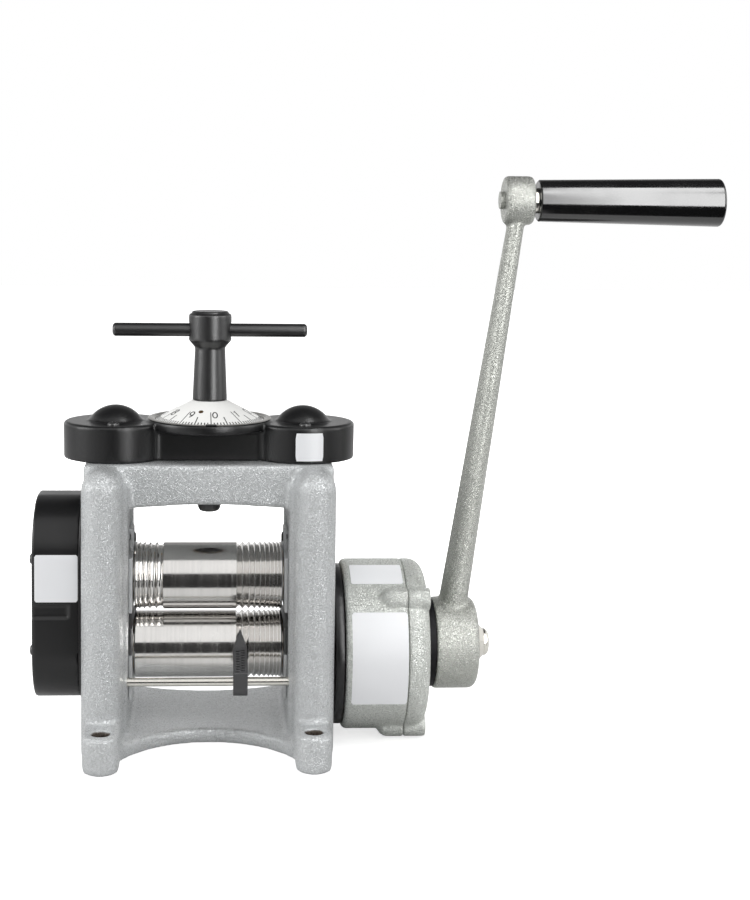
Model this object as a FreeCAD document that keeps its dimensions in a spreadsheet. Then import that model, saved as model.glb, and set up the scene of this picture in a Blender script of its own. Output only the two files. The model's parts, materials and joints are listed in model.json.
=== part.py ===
"""Jewellers rolling mill with a planetary gearbox, in millimetres.

Frame: X runs along the rolls, from the gear cover towards the crank. Y runs through the roll gap and Z is up.
X = 0 is the middle of the rolls, Y = 0 the plane of the roll axes and Z = 0 the face under the feet.
"""
import FreeCAD, Part
import math
import os
import re

import Sketcher
from FreeCAD import Placement, Rotation, Vector

SIZES = {
    # rolls
    "roll_length": 110, "roll_radius": 25, "roll_gap": 2.6,
    "lower_axis": 65, "journal_radius": 15, "gear_seat_radius": 11, "roll_edge": 0.8,
    "round_groove_first": 54, "round_groove_space": 0.35, "round_groove_least": 1.2, "round_groove_step": 0.35,
    "wire_groove_first": 20.6, "wire_groove_space": 0.35, "wire_groove_most": 2.35, "wire_groove_step": 0.17,
    # frame casting
    "frame_half_width": 91, "frame_top": 208.4, "column_width": 29.4, "column_front": 76,
    "wall_inner": 58.5, "wall_half_depth": 50, "bridge_half_depth": 42, "bridge_under": 175.8, "bridge_arch": 3.2,
    "base_thickness": 10.5, "base_half_depth": 76, "base_half_width": 86, "scallop_half": 62.7, "scallop_rise": 39.5,
    "scallop_rear_rise": 17,
    "foot_hole_x": 75, "foot_hole_y": 92, "foot_hole_radius": 6.5, "foot_radius": 13, "foot_height": 27, "foot_edge": 3,
    "slot_half_width": 30, "slot_bottom": 32, "slot_top": 158,
    # chocks, bushes and lift springs
    "chock_setback": 2.5, "chock_flange": 2.2, "chock_flange_over": 5, "chock_half_height": 20.4,
    "chock_lug_half": 8, "chock_lug_rise": 17, "chock_screw_radius": 2, "chock_screw_head": 3.8,
    "chock_screw_head_height": 1.4, "slide_gap": 0.3,
    "bush_wall": 3.5, "running_gap": 0.05, "spring_radius": 4.6, "spring_wire": 1.3, "spring_y": 23, "spring_x": 65,
    # pressure screws
    "screw_radius": 9, "screw_end_radius": 6.5, "screw_bush_wall": 2, "screw_top": 25.6,
    "gear_boss_radius": 8,
    # gearing under the cap
    "cap_module": 2, "centre_teeth": 16, "idler_teeth": 11, "spindle_teeth": 32, "cap_gear_low": 3.8,
    "spindle_gear_low": 8.6, "spindle_gear_width": 8, "cap_gear_width": 16, "idler_pin_radius": 4,
    # cap
    "lobe_radius": 38.3, "web_half_depth": 22, "cap_blend": 6, "cap_top": 27.2, "cap_wall": 3, "cap_roof": 4,
    "cap_edge": 1.6, "cap_plate": 2.6, "bezel_radius": 46.3, "bezel_low": 21.9, "bezel_top": 29.2,
    "bezel_lip": 3.4, "dome_radius": 20.4, "dome_height": 11.5, "dome_wall": 2.5,
    "cap_screw_radius": 2.5, "cap_screw_head": 4.4, "cap_screw_head_height": 2.2, "cap_screw_y": 27.5,
    # dial and T-handle
    "dial_radius": 40.2, "dial_low": 27.5, "dial_rim": 0.9, "dial_top_radius": 13, "dial_top": 42.6,
    "shaft_radius": 8, "hub_neck_low": 12.9, "hub_neck_high": 11.2, "hub_neck_top": 82.1, "hub_radius": 15.9,
    "hub_shoulder": 87.6, "hub_top": 109.2, "hub_edge": 2.5, "t_bar_radius": 5, "t_bar_length": 144.7,
    "t_bar_height": 95, "t_bar_end": 1.6, "centre_bush_wall": 3, "nut_radius": 10.5, "nut_low": -8.8,
    # gear cover on the left side
    "cover_outer": 36.7, "cover_bottom": 28.9, "cover_top": 180.6, "cover_half_depth": 48, "cover_corner": 42,
    "cover_wall": 3, "cover_edge": 1.8, "cover_plate": 2.6, "cover_lip": 3, "notch_low": 96.5, "notch_high": 107.5,
    "notch_length": 27, "notch_depth": 1.6, "cover_screw_radius": 2, "cover_screw_head": 4,
    "cover_screw_head_height": 2.2, "cover_screw_inset": 12,
    # roll gears
    "roll_module": 3.5, "roll_teeth": 14, "roll_tip_radius": 28.3, "roll_root_radius": 20.3,
    "roll_gear_inner": 7.5, "roll_gear_width": 19, "retainer_radius": 15, "retainer_thickness": 3,
    # guide rod and wire guide
    "rod_radius": 3.25, "rod_height": 49, "rod_y": 45, "rod_seat": 7, "guide_width": 10.5, "guide_x": 23.6,
    "guide_bottom": 39.5, "guide_boss": 7, "guide_gap": 0.8, "guide_tip_z": 81, "guide_tip_thickness": 1.6,
    "guide_hollow": 16, "guide_point": 12,
    # gearbox
    "adapter_thickness": 6.8, "gearbox_radius": 63.6, "gearbox_left": 9, "gearbox_split": 54.8,
    "gearbox_right": 71.4, "gearbox_wall": 5, "gearbox_edge": 11, "gearbox_left_edge": 3.5, "adapter_radius": -3.6,
    "case_gap": 0.6, "lug_radius": 8, "lug_distance": -1.4, "lug_high_angle": 46, "lug_low_angle": 64, "lug_low_x": 43,
    "case_screw_radius": 3, "case_screw_head": 5, "case_screw_head_height": 5, "seal_radius": 33,
    "bearing_radius": 17,
    # planetary gears
    "planet_module": 2, "sun_teeth": 12, "planet_teeth": 18, "ring_teeth": 48,
    "ring_left": 29, "ring_width": 20, "planet_width": 17, "planet_pin_radius": 5, "carrier_radius": 40,
    "carrier_left": 16, "carrier_thickness": 9, "coupling_radius": 15,
    # crank
    "crank_shaft_radius": 10, "arm_left": 79.2, "arm_hub_right": 111.8, "arm_hub_radius": 34.5, "arm_hub_edge": 6,
    "arm_hub_left_edge": 1.5,
    "arm_centre_low": 90.6, "arm_centre_high": 139.5, "arm_half_low": 11.2, "arm_half_high": 6,
    "arm_depth_low": 17, "arm_depth_high": 10, "crank_throw": 337, "boss_radius": 18.2,
    "boss_left": 127.6, "boss_right": 149.4, "boss_edge": 3, "crank_washer_radius": 15.5, "crank_washer_right": 118.7,
    "crank_washer_crown": 10.3, "crank_bolt_radius": 10.2, "crank_bolt_right": 122.6, "crank_bolt_edge": 1.2,
    "crank_bolt_flat": 7,
    # grip
    "grip_left": 153.2, "grip_right": 292.2, "grip_radius_left": 15.6, "grip_radius_right": 18,
    "grip_edge": 2, "pin_radius": 5.5, "pin_head_radius": 6.5, "pin_head_height": 3, "pin_end_depth": 6,
    "grip_washer_radius": 9.5,
    # tooth shape
    "pressure_angle": 25, "addendum": 0.9, "dedendum": 1.15, "backlash": 0.1,
}

# Sizes counted from the frame's sides, its top or the bridge's underside, or from the gearbox's radius.
MEASURED_FROM = {
    "frame_half_width": (
        "cover_outer", "roll_gear_inner", "gearbox_left", "gearbox_split", "gearbox_right", "lug_low_x", "ring_left",
        "carrier_left", "arm_left", "arm_hub_right", "arm_centre_low", "arm_centre_high", "boss_left", "boss_right",
        "crank_washer_right", "crank_bolt_right", "grip_left", "grip_right",
    ),
    "frame_top": (
        "screw_top", "cap_gear_low", "spindle_gear_low", "cap_top", "bezel_low", "bezel_top", "dial_low", "dial_top",
        "hub_neck_top", "hub_shoulder", "hub_top", "t_bar_height",
    ),
    "bridge_under": ("nut_low",),
    "gearbox_radius": ("lug_distance", "adapter_radius"),
}
STARTS = {name: start for start, names in MEASURED_FROM.items() for name in names}

doc = FreeCAD.newDocument("RollingMill")
sheet = doc.addObject("Spreadsheet::Sheet", "Sizes")
for row, (name, size) in enumerate(SIZES.items(), start=1):
    sheet.set(f"A{row}", name)
    sheet.set(f"B{row}", str(size))
    sheet.setAlias(f"B{row}", name)
doc.recompute()

FUNCTIONS = {"sqrt", "sin", "cos", "tan"}
NAMES = re.compile(r"[a-z][a-z_]+")
ALONG = {
    "X": Rotation(Vector(0, 1, 0), 90),
    "Y": Rotation(Vector(1, 0, 0), -90),
    "Z": Rotation(),
}
TURNED_ALONG = {
    "X": Rotation(),
    "Y": Rotation(Vector(0, 0, 1), 90),
    "Z": Rotation(Vector(0, 1, 0), -90),
}
PLANES = {
    "X": Rotation(Vector(1, 1, 1), 120),
    "Y": Rotation(Vector(1, 0, 0), 90),
    "Z": Rotation(),
}
NORMALS = {"X": Vector(1, 0, 0), "Y": Vector(0, 1, 0), "Z": Vector(0, 0, 1)}
pieces = []

# places that several pieces share, as formulas on the sheet
UPPER_AXIS = "(lower_axis + 2 * roll_radius + roll_gap)"
COLUMN_RADIUS = "(column_width / 2)"
COLUMN_X = "(frame_half_width - column_width / 2)"
COLUMN_Y = "(column_front - column_width / 2)"
CHOCK_INNER = "(wall_inner - slide_gap - chock_flange)"
CHOCK_OUTER = "(frame_half_width - chock_setback)"
CHOCK_HALF = "(slot_half_width - slide_gap)"
LOWER_CHOCK_TOP = "(lower_axis + chock_half_height)"
UPPER_CHOCK_LOW = f"({UPPER_AXIS} - chock_half_height)"
UPPER_CHOCK_TOP = f"({UPPER_AXIS} + chock_half_height)"
BUSH_RADIUS = "(journal_radius + bush_wall)"
COVER_INNER = "(frame_half_width + cover_plate)"
IDLER_X = "(cap_module * (centre_teeth + idler_teeth) / 2)"
SCREW_X = "(cap_module * (centre_teeth + 2 * idler_teeth + spindle_teeth) / 2)"
SCREW_BUSH_RADIUS = "(screw_radius + screw_bush_wall)"
BRIDGE_MIDDLE = "(bridge_under + bridge_arch)"
PLANET_DISTANCE = "(planet_module * (sun_teeth + planet_teeth) / 2)"
CRANK_HEIGHT = "(lower_axis + crank_throw)"
ADAPTER_LEFT = "(gearbox_left - case_gap - adapter_thickness)"
PIN_BORE = "(pin_radius + running_gap)"
SCREW_SEAT = "(gearbox_right - case_screw_head_height)"


def spelled(formula, sheet_name=""):
    """A formula whose names are cells of the sheet, with the place that a size is measured from added to it."""
    def cell(found):
        name = found[0]
        if name in FUNCTIONS:
            return name
        if name in STARTS:
            return f"({sheet_name}{STARTS[name]} + {sheet_name}{name})"
        return sheet_name + name
    return NAMES.sub(cell, str(formula))


def bound(formula):
    """A formula as another object's expression reads it."""
    return spelled(formula, "Sizes.")


def size(formula):
    """The value of a formula on the sheet."""
    return float(sheet.evalExpression(spelled(formula)))


def tie(item, **formulas):
    """Binds properties of an object to formulas."""
    for name, formula in formulas.items():
        item.setExpression(name, bound(formula))
    return item


def put(item, at, turn=Rotation()):
    """Turns an object and binds its place to three formulas."""
    item.Placement = Placement(Vector(), turn)
    for axis, formula in zip("xyz", at):
        item.setExpression(f"Placement.Base.{axis}", bound(formula))
    return item


def box(label, low, high):
    """A block between two corners."""
    item = doc.addObject("Part::Box", label)
    sides = [f"({b}) - ({a})" for a, b in zip(low, high)]
    tie(item, Length=sides[0], Width=sides[1], Height=sides[2])
    return put(item, low)


def rod(label, radius, length, at, along="Z"):
    """A cylinder that starts at a point."""
    item = doc.addObject("Part::Cylinder", label)
    tie(item, Radius=radius, Height=length)
    return put(item, at, ALONG[along])


def ball(label, radius, at):
    item = doc.addObject("Part::Sphere", label)
    tie(item, Radius=radius)
    return put(item, at)


def fuse(label, items):
    item = doc.addObject("Part::MultiFuse", label)
    item.Shapes = items
    return item


def cut(label, base, tools):
    item = doc.addObject("Part::Cut", label)
    item.Base = base
    item.Tool = tools[0] if len(tools) == 1 else fuse(label + "_tools", tools)
    return item


def group(label, items):
    item = doc.addObject("Part::Compound", label)
    item.Links = items
    return item


def rounded(label, base, radius, picked, kind="Part::Fillet"):
    """Rounds or chamfers the edges of a base that a test picks."""
    doc.recompute()
    item = doc.addObject(kind, label)
    item.Base = base
    reach = size(radius)
    item.Edges = [(n, reach, reach) for n, edge in enumerate(base.Shape.Edges, start=1) if picked(edge)]
    return item


def on_plane(axis, formula):
    """A test for edges that lie in a plane across an axis."""
    place = size(formula)

    def picked(edge):
        bounds = edge.BoundBox
        low, high = {"X": (bounds.XMin, bounds.XMax), "Y": (bounds.YMin, bounds.YMax),
                     "Z": (bounds.ZMin, bounds.ZMax)}[axis]
        return abs(low - place) < 0.01 and abs(high - place) < 0.01
    return picked


def draw(sketch, path):
    """Draws a closed path of (u, v) points. A point with a radius and a side starts an arc to the next one.

    Side 1 has the arc's centre on the left of the way along the path, and side -1 on the right.
    """
    count = len(path)
    places = [Vector(size(point[0]), size(point[1]), 0) for point in path]
    ends = []
    for n, point in enumerate(path):
        here, there = places[n], places[(n + 1) % count]
        if len(point) == 2:
            sketch.addGeometry(Part.LineSegment(here, there), False)
            ends.append((1, 2))
            continue
        radius, side = size(point[2]), point[3]
        step = there - here
        rise = math.sqrt(max(radius ** 2 - step.Length ** 2 / 4, 0))
        centre = (here + there) * 0.5 + Vector(-step.y, step.x, 0) * (side * rise / step.Length)
        first, last = (here, there) if side > 0 else (there, here)
        angles = [math.atan2(spot.y - centre.y, spot.x - centre.x) for spot in (first, last)]
        circle = Part.Circle(centre, Vector(0, 0, 1), radius)
        sketch.addGeometry(Part.ArcOfCircle(circle, angles[0], angles[1]), False)
        ends.append((1, 2) if side > 0 else (2, 1))
    for n, point in enumerate(path):
        after = (n + 1) % count
        sketch.addConstraint(Sketcher.Constraint("Coincident", n, ends[n][1], after, ends[after][0]))
        for kind, place, formula in (("DistanceX", places[n].x, point[0]), ("DistanceY", places[n].y, point[1])):
            rule = sketch.addConstraint(Sketcher.Constraint(kind, -1, 1, n, ends[n][0], place))
            sketch.setExpression(f"Constraints[{rule}]", bound(formula))
        if len(point) > 2:
            rule = sketch.addConstraint(Sketcher.Constraint("Radius", n, size(point[2])))
            sketch.setExpression(f"Constraints[{rule}]", bound(point[2]))


def turned(label, path, at=(0, 0, 0), along="X"):
    """A turned body: a closed path of (place along the axis, radius) points, revolved about the axis."""
    body = doc.addObject("PartDesign::Body", label)
    sketch = body.newObject("Sketcher::SketchObject", label + "_profile")
    plane = [item for item in body.Origin.OriginFeatures if item.Role == "XY_Plane"][0]
    sketch.AttachmentSupport = [(plane, "")]
    sketch.MapMode = "FlatFace"
    draw(sketch, path)
    turn = body.newObject("PartDesign::Revolution", label + "_turn")
    turn.Profile = sketch
    turn.ReferenceAxis = (sketch, ["H_Axis"])
    turn.Angle = 360
    return put(body, at, TURNED_ALONG[along])


def slab(label, path, axis, low, high):
    """A closed path of points across an axis, extruded from a low to a high place on it."""
    sketch = doc.addObject("Sketcher::SketchObject", label + "_outline")
    draw(sketch, path)
    put(sketch, [low if letter == axis else 0 for letter in "XYZ"], PLANES[axis])
    item = doc.addObject("Part::Extrusion", label)
    item.Base = sketch
    item.DirMode = "Custom"
    item.Dir = NORMALS[axis]
    item.Solid = True
    tie(item, LengthFwd=f"({high}) - ({low})")
    return item


def ring(label, outer, inner, low, high, at, along="X"):
    """A washer or sleeve about an axis."""
    return turned(label, [(low, inner), (low, outer), (high, outer), (high, inner)], at, along)


def piece(item, label):
    """Names a finished sub-part, which becomes a file of that name."""
    item.Label = label
    pieces.append(item)
    return item


def mirror_x(path):
    """The same path on the other side of X = 0, in the same sense of turn."""
    count = len(path)
    flipped = []
    for n in range(count):
        point, before = path[count - 1 - n], path[(count - 2 - n) % count]
        flipped.append((f"-({point[0]})", point[1]) + tuple(before[2:]))
    return flipped


# ---------------------------------------------------------------- gear teeth

def involute(angle):
    return math.tan(angle) - angle


def gear_wire(teeth, module, tip, root, phase, thinning):
    """The outline of a spur gear with one tooth centred on the phase angle."""
    slant = math.radians(size("pressure_angle"))
    pitch = module * teeth / 2
    base = pitch * math.cos(slant)
    half_tooth = math.pi / (2 * teeth) - thinning / pitch

    def half_angle(radius):
        spread = math.acos(min(base / radius, 1))
        return half_tooth + involute(slant) - involute(spread)

    flank = [root, pitch, tip]
    corners = []
    for tooth in range(teeth):
        middle = phase + 2 * math.pi * tooth / teeth
        rising = [(radius, middle - half_angle(max(radius, base))) for radius in flank]
        falling = [(radius, middle + half_angle(max(radius, base))) for radius in reversed(flank)]
        corners += [Vector(r * math.cos(a), r * math.sin(a), 0) for r, a in rising + falling]
    return Part.makePolygon(corners + corners[:1])


def gear(label, teeth, module, low, width, phase, at, along, bore, tip=None, root=None, rim=None):
    """A spur gear, or with a rim a ring gear whose tooth spaces are centred on the phase angle."""
    count = int(round(size(teeth)))
    scale = size(module)
    pitch = count * scale / 2
    play = size("backlash")
    if rim is None:
        tip_radius = size(tip) if tip else pitch + size("addendum") * scale
        root_radius = size(root) if root else pitch - size("dedendum") * scale
        face = Part.Face(gear_wire(count, scale, tip_radius, root_radius, phase, play))
        solid = face.extrude(Vector(0, 0, size(width)))
        hole = Part.makeCylinder(size(bore), size(width))
        shape = solid.cut(hole)
    else:
        tip_radius = pitch + size("dedendum") * scale
        root_radius = pitch - size("addendum") * scale
        face = Part.Face(gear_wire(count, scale, tip_radius, root_radius, phase, -play))
        solid = face.extrude(Vector(0, 0, size(width)))
        shape = Part.makeCylinder(size(rim), size(width)).cut(solid)
    item = doc.addObject("Part::Feature", label)
    item.Shape = shape
    turn = PLANES["X"] if along == "X" else Rotation()
    place = Vector(*[size(formula) for formula in at])
    item.Placement = Placement(place + NORMALS[along] * size(low), turn)
    return item


def meshed(direction, phase, teeth, next_teeth):
    """The phase of a gear that meshes with one of a known phase and lies in a direction from it."""
    pitch, next_pitch = 2 * math.pi / teeth, 2 * math.pi / next_teeth
    return direction + math.pi - next_pitch * (0.5 - (direction - phase) / pitch)


# ---------------------------------------------------------------- frame casting

def frame_side():
    """One side wall with its two half-round columns, in plan."""
    inner = f"{COLUMN_X} - {COLUMN_RADIUS}"
    outer = "frame_half_width"
    shoulder = "wall_half_depth + 5"
    return [
        ("wall_inner", "-wall_half_depth"),
        (inner, f"-({shoulder})"),
        (inner, f"-{COLUMN_Y}", COLUMN_RADIUS, 1),
        (COLUMN_X, "-column_front", COLUMN_RADIUS, 1),
        (outer, f"-{COLUMN_Y}"),
        (outer, COLUMN_Y, COLUMN_RADIUS, 1),
        (COLUMN_X, "column_front", COLUMN_RADIUS, 1),
        (inner, COLUMN_Y),
        (inner, shoulder),
        ("wall_inner", "wall_half_depth"),
    ]


def foot(label, middle, end):
    """A foot that runs out from under a column to a round end, with its top edge rounded."""
    low, high = f"{middle} - foot_radius", f"{middle} + foot_radius"
    near, far = f"{end} * {COLUMN_Y}", f"{end} * foot_hole_y"
    tip = f"{end} * (foot_hole_y + foot_radius)"
    first, last = (low, high) if end < 0 else (high, low)
    plan = [(first, far, "foot_radius", 1), (middle, tip, "foot_radius", 1), (last, far), (last, near), (first, near)]
    return rounded(label, slab(label + "_solid", plan, "Z", 0, "foot_height"), "foot_edge",
                   on_plane("Z", "foot_height"))


def frame_parts():
    shoulder = f"(frame_top - {COLUMN_RADIUS})"
    inner = f"({COLUMN_X} - {COLUMN_RADIUS})"
    arch = f"(({inner} * {inner} + bridge_arch * bridge_arch) / (2 * bridge_arch))"
    front, rear = (f"((scallop_half * scallop_half + {rise} * {rise}) / (2 * {rise}))"
                   for rise in ("scallop_rise", "scallop_rear_rise"))
    plan = frame_side()
    items = [slab("wall_right", plan, "Z", 0, shoulder), slab("wall_left", mirror_x(plan), "Z", 0, shoulder)]
    bridge = [
        ("-frame_half_width", "bridge_under"), (f"-{inner}", "bridge_under", arch, -1), (inner, "bridge_under"),
        ("frame_half_width", "bridge_under"), ("frame_half_width", "frame_top"), ("-frame_half_width", "frame_top"),
    ]
    items.append(slab("bridge", bridge, "Y", "-bridge_half_depth", "bridge_half_depth"))
    base = [
        ("-base_half_width", "-base_half_depth"), ("-scallop_half", "-base_half_depth", front, -1),
        ("scallop_half", "-base_half_depth"), ("base_half_width", "-base_half_depth"),
        ("base_half_width", "base_half_depth"), ("scallop_half", "base_half_depth", rear, -1),
        ("-scallop_half", "base_half_depth"), ("-base_half_width", "base_half_depth"),
    ]
    items.append(slab("base", base, "Z", 0, "base_thickness"))
    for side, hand in ((-1, "left"), (1, "right")):
        top = rod(f"column_top_{hand}", COLUMN_RADIUS, f"2 * {COLUMN_Y}",
                  (f"{side} * {COLUMN_X}", f"-{COLUMN_Y}", shoulder), "Y")
        items.append(top)
        for end, place in ((-1, "front"), (1, "rear")):
            items.append(ball(f"column_end_{hand}_{place}", COLUMN_RADIUS,
                              (f"{side} * {COLUMN_X}", f"{end} * {COLUMN_Y}", shoulder)))
            items.append(foot(f"foot_{hand}_{place}", f"({side} * foot_hole_x)", end))
    return items


def frame_cuts():
    tools = []
    for side, hand in ((-1, "left"), (1, "right")):
        low, high = sorted([f"{side} * (wall_inner - 1)", f"{side} * (frame_half_width + 1)"], key=size)
        tools.append(box(f"slot_{hand}", (low, "-slot_half_width", "slot_bottom"),
                         (high, "slot_half_width", "slot_top")))
        tools.append(rod(f"screw_bore_{hand}", SCREW_BUSH_RADIUS, "frame_top - slot_top + 2",
                         (f"{side} * {SCREW_X}", 0, "slot_top - 1")))
        start = "-wall_inner - rod_seat" if side < 0 else "wall_inner - 1"
        tools.append(rod(f"rod_seat_{hand}", "rod_radius + running_gap", "rod_seat + 1",
                         (start, "-rod_y", "rod_height"), "X"))
        for end, place in ((-1, "front"), (1, "rear")):
            tools.append(rod(f"foot_hole_{hand}_{place}", "foot_hole_radius", "foot_height + 2",
                             (f"{side} * foot_hole_x", f"{end} * foot_hole_y", -1)))
    tools.append(rod("centre_bore", "shaft_radius + centre_bush_wall", "frame_top - bridge_under + 2",
                     (0, 0, "bridge_under - 1")))
    return tools


piece(cut("FrameCasting", fuse("FrameSolid", frame_parts()), frame_cuts()), "frame_casting")


# ---------------------------------------------------------------- chocks, bushes and springs

def chock(label, side, low, axis, high, lug):
    """A bearing block that fills its slot, with a flange on the inner side and a lug on top of the flange."""
    def span(a, b):
        return sorted([f"{side} * {a}", f"{side} * {b}"], key=size)
    block_low, block_high = span(CHOCK_INNER, CHOCK_OUTER)
    flange_low, flange_high = span(CHOCK_INNER, f"({CHOCK_INNER} + chock_flange)")
    over = f"({CHOCK_HALF} + chock_flange_over)"
    parts = [
        box(label + "_block", (block_low, f"-{CHOCK_HALF}", low), (block_high, CHOCK_HALF, high)),
        box(label + "_flange", (flange_low, f"-{over}", low), (flange_high, over, high)),
    ]
    tools = []
    if lug:
        top = f"{high} + chock_lug_rise"
        parts.append(box(label + "_lug", (flange_low, "-chock_lug_half", f"{high} - 1"),
                         (flange_high, "chock_lug_half", top)))
        tools.append(rod(label + "_lug_hole", "chock_screw_radius", "chock_flange + 2",
                         (f"{flange_low} - 1", 0, f"{top} - chock_lug_half"), "X"))
    hole = rod(label + "_bore", BUSH_RADIUS, f"{CHOCK_OUTER} - {CHOCK_INNER} + 2", (f"{block_low} - 1", 0, axis), "X")
    return cut(label, fuse(label + "_solid", parts), [hole] + tools)


def bush(label, side, axis):
    low, high = sorted([f"{side} * {CHOCK_INNER}", f"{side} * {CHOCK_OUTER}"], key=size)
    return ring(label, BUSH_RADIUS, "journal_radius + running_gap", low, high, (0, 0, axis))


for side, hand in ((-1, "left"), (1, "right")):
    piece(chock(f"LowerChock{hand}", side, "slot_bottom", "lower_axis", LOWER_CHOCK_TOP, False),
          f"lower_chock_{hand}")
    piece(chock(f"UpperChock{hand}", side, UPPER_CHOCK_LOW, UPPER_AXIS, UPPER_CHOCK_TOP, True),
          f"upper_chock_{hand}")
piece(group("LowerBushes", [bush(f"LowerBush{side + 1}", side, "lower_axis") for side in (-1, 1)]), "lower_bushes")
piece(group("UpperBushes", [bush(f"UpperBush{side + 1}", side, UPPER_AXIS) for side in (-1, 1)]), "upper_bushes")
piece(group("LiftSprings", [
    ring(f"Spring{side + 1}{end + 1}", "spring_radius", "spring_radius - spring_wire", LOWER_CHOCK_TOP,
         UPPER_CHOCK_LOW, (f"{side} * spring_x", f"{end} * spring_y", 0), "Z")
    for side in (-1, 1) for end in (-1, 1)]), "lift_springs")


def headed_screw(label, at, radius, length, head, head_height, along, way):
    """A screw whose head stands on a point. Its shank runs up (way 1) or down (way -1) the axis from there."""
    profile = [
        (f"-({head_height})", 0), (f"-({head_height})", head), (0, head), (0, radius), (length, radius), (length, 0),
    ]
    if way < 0:
        profile = [(f"-1 * ({place})", reach) for place, reach in reversed(profile)]
    return turned(label, profile, at, along)


piece(group("ChockScrews", [
    headed_screw(f"ChockScrew{side + 1}", (f"{side} * {CHOCK_INNER}", 0, f"{UPPER_CHOCK_TOP} + chock_lug_rise"
                                           " - chock_lug_half"), "chock_screw_radius", "chock_flange + 1",
                 "chock_screw_head", "chock_screw_head_height", "X", side) for side in (-1, 1)]), "chock_screws")


# ---------------------------------------------------------------- rolls

def round_grooves():
    """Half-round grooves at the left of the upper roll, wider towards the middle."""
    points, place = [], "-round_groove_first"
    for n in range(5):
        half = f"(round_groove_least + {n} * round_groove_step)"
        start, end = place, f"({place} + 2 * {half})"
        points += [(start, "roll_radius", f"{half} * 1.02", 1), (end, "roll_radius")]
        place = f"({end} + round_groove_space)"
    return points


def wire_grooves():
    """Square-wire grooves at the right of both rolls, narrower towards the end."""
    points, place = [], "wire_groove_first"
    for n in range(9):
        half = f"(wire_groove_most - {n} * wire_groove_step)"
        points += [(place, "roll_radius"), (f"{place} + {half}", f"roll_radius - {half}"),
                   (f"{place} + 2 * {half}", "roll_radius")]
        place = f"({place} + 2 * {half} + wire_groove_space)"
    return points


def roll(label, axis, left, right, grooves):
    """A roll with journals and a stepped seat for its gear at the left."""
    end = "roll_length / 2"
    path = [
        (left, 0), (left, "gear_seat_radius"), ("-roll_gear_inner", "gear_seat_radius"),
        ("-roll_gear_inner", "journal_radius"), (f"-{end}", "journal_radius"),
        (f"-{end}", "roll_radius - roll_edge"), (f"-{end} + roll_edge", "roll_radius"),
    ]
    path += grooves
    path += [
        (f"{end} - roll_edge", "roll_radius"), (end, "roll_radius - roll_edge"), (end, "journal_radius"),
        (right, "journal_radius"), (right, 0),
    ]
    return turned(label, path, (0, 0, axis))


gear_outer = "(roll_gear_inner + roll_gear_width)"
upper_roll = roll("UpperRoll", UPPER_AXIS, f"-{gear_outer}", CHOCK_OUTER, round_grooves() + wire_grooves())
lower_roll = roll("LowerRoll", "lower_axis", f"-{gear_outer}", "carrier_left", wire_grooves())
piece(upper_roll, "upper_roll")
piece(lower_roll, "lower_roll")

ROLL_GEAR = {"teeth": "roll_teeth", "module": "roll_module", "low": f"-{gear_outer}", "width": "roll_gear_width",
             "along": "X", "bore": "gear_seat_radius", "tip": "roll_tip_radius", "root": "roll_root_radius"}
roll_teeth = int(size("roll_teeth"))
upper_phase = meshed(math.pi / 2, 0, roll_teeth, roll_teeth)
piece(gear("LowerRollGear", phase=0, at=(0, 0, "lower_axis"), **ROLL_GEAR), "lower_roll_gear")
piece(gear("UpperRollGear", phase=upper_phase, at=(0, 0, UPPER_AXIS), **ROLL_GEAR), "upper_roll_gear")
for hand, axis in (("lower", "lower_axis"), ("upper", UPPER_AXIS)):
    piece(ring(f"{hand}Retainer", "retainer_radius", 0, f"-{gear_outer} - retainer_thickness", f"-{gear_outer}",
               (0, 0, axis)), f"{hand}_gear_retainer")


# ---------------------------------------------------------------- gear cover

def cover_outline(inset):
    """The rounded oblong of the gear cover, seen along X."""
    half, low, high = f"(cover_half_depth - {inset})", f"(cover_bottom + {inset})", f"(cover_top - {inset})"
    corner = f"(cover_corner - {inset})"
    return [
        (f"{half} - {corner}", low, corner, 1), (half, f"{low} + {corner}"),
        (half, f"{high} - {corner}", corner, 1), (f"{half} - {corner}", high),
        (f"-{half} + {corner}", high, corner, 1), (f"-{half}", f"{high} - {corner}"),
        (f"-{half}", f"{low} + {corner}", corner, 1), (f"-{half} + {corner}", low),
    ]


cover_screw_spots = [
    (f"{y} * (cover_half_depth - cover_screw_inset)", z)
    for y in (-1, 1) for z in ("cover_bottom + cover_corner", "cover_top - cover_corner")
]
cover_solid = slab("CoverSolid", cover_outline(0), "X", "-cover_outer", f"-{COVER_INNER}")
cover_round = rounded("CoverRound", cover_solid, "cover_edge", on_plane("X", "-cover_outer"))
cover_hollow = slab("CoverHollow", cover_outline("cover_wall"), "X", "-cover_outer + cover_wall",
                    f"-{COVER_INNER} + 1")
cover_posts = [
    rod(f"CoverPost{n}", "cover_screw_head", f"cover_outer - {COVER_INNER} - cover_wall / 2",
        ("-cover_outer + cover_wall / 2", y, z), "X")
    for n, (y, z) in enumerate(cover_screw_spots)
]
cover_shell = cut("CoverShell", cover_round, [cover_hollow])
notch = box("CoverNotch", ("-cover_outer - 1", "-cover_half_depth - 1", "notch_low"),
            ("-cover_outer + notch_length", "-cover_half_depth + notch_depth", "notch_high"))
screw_holes = [
    rod(f"CoverHole{n}", "cover_screw_radius", "cover_outer", ("-cover_outer - 1", y, z), "X")
    for n, (y, z) in enumerate(cover_screw_spots)
]
piece(cut("GearCover", fuse("CoverWithPosts", [cover_shell] + cover_posts), [notch] + screw_holes), "gear_cover")


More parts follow.
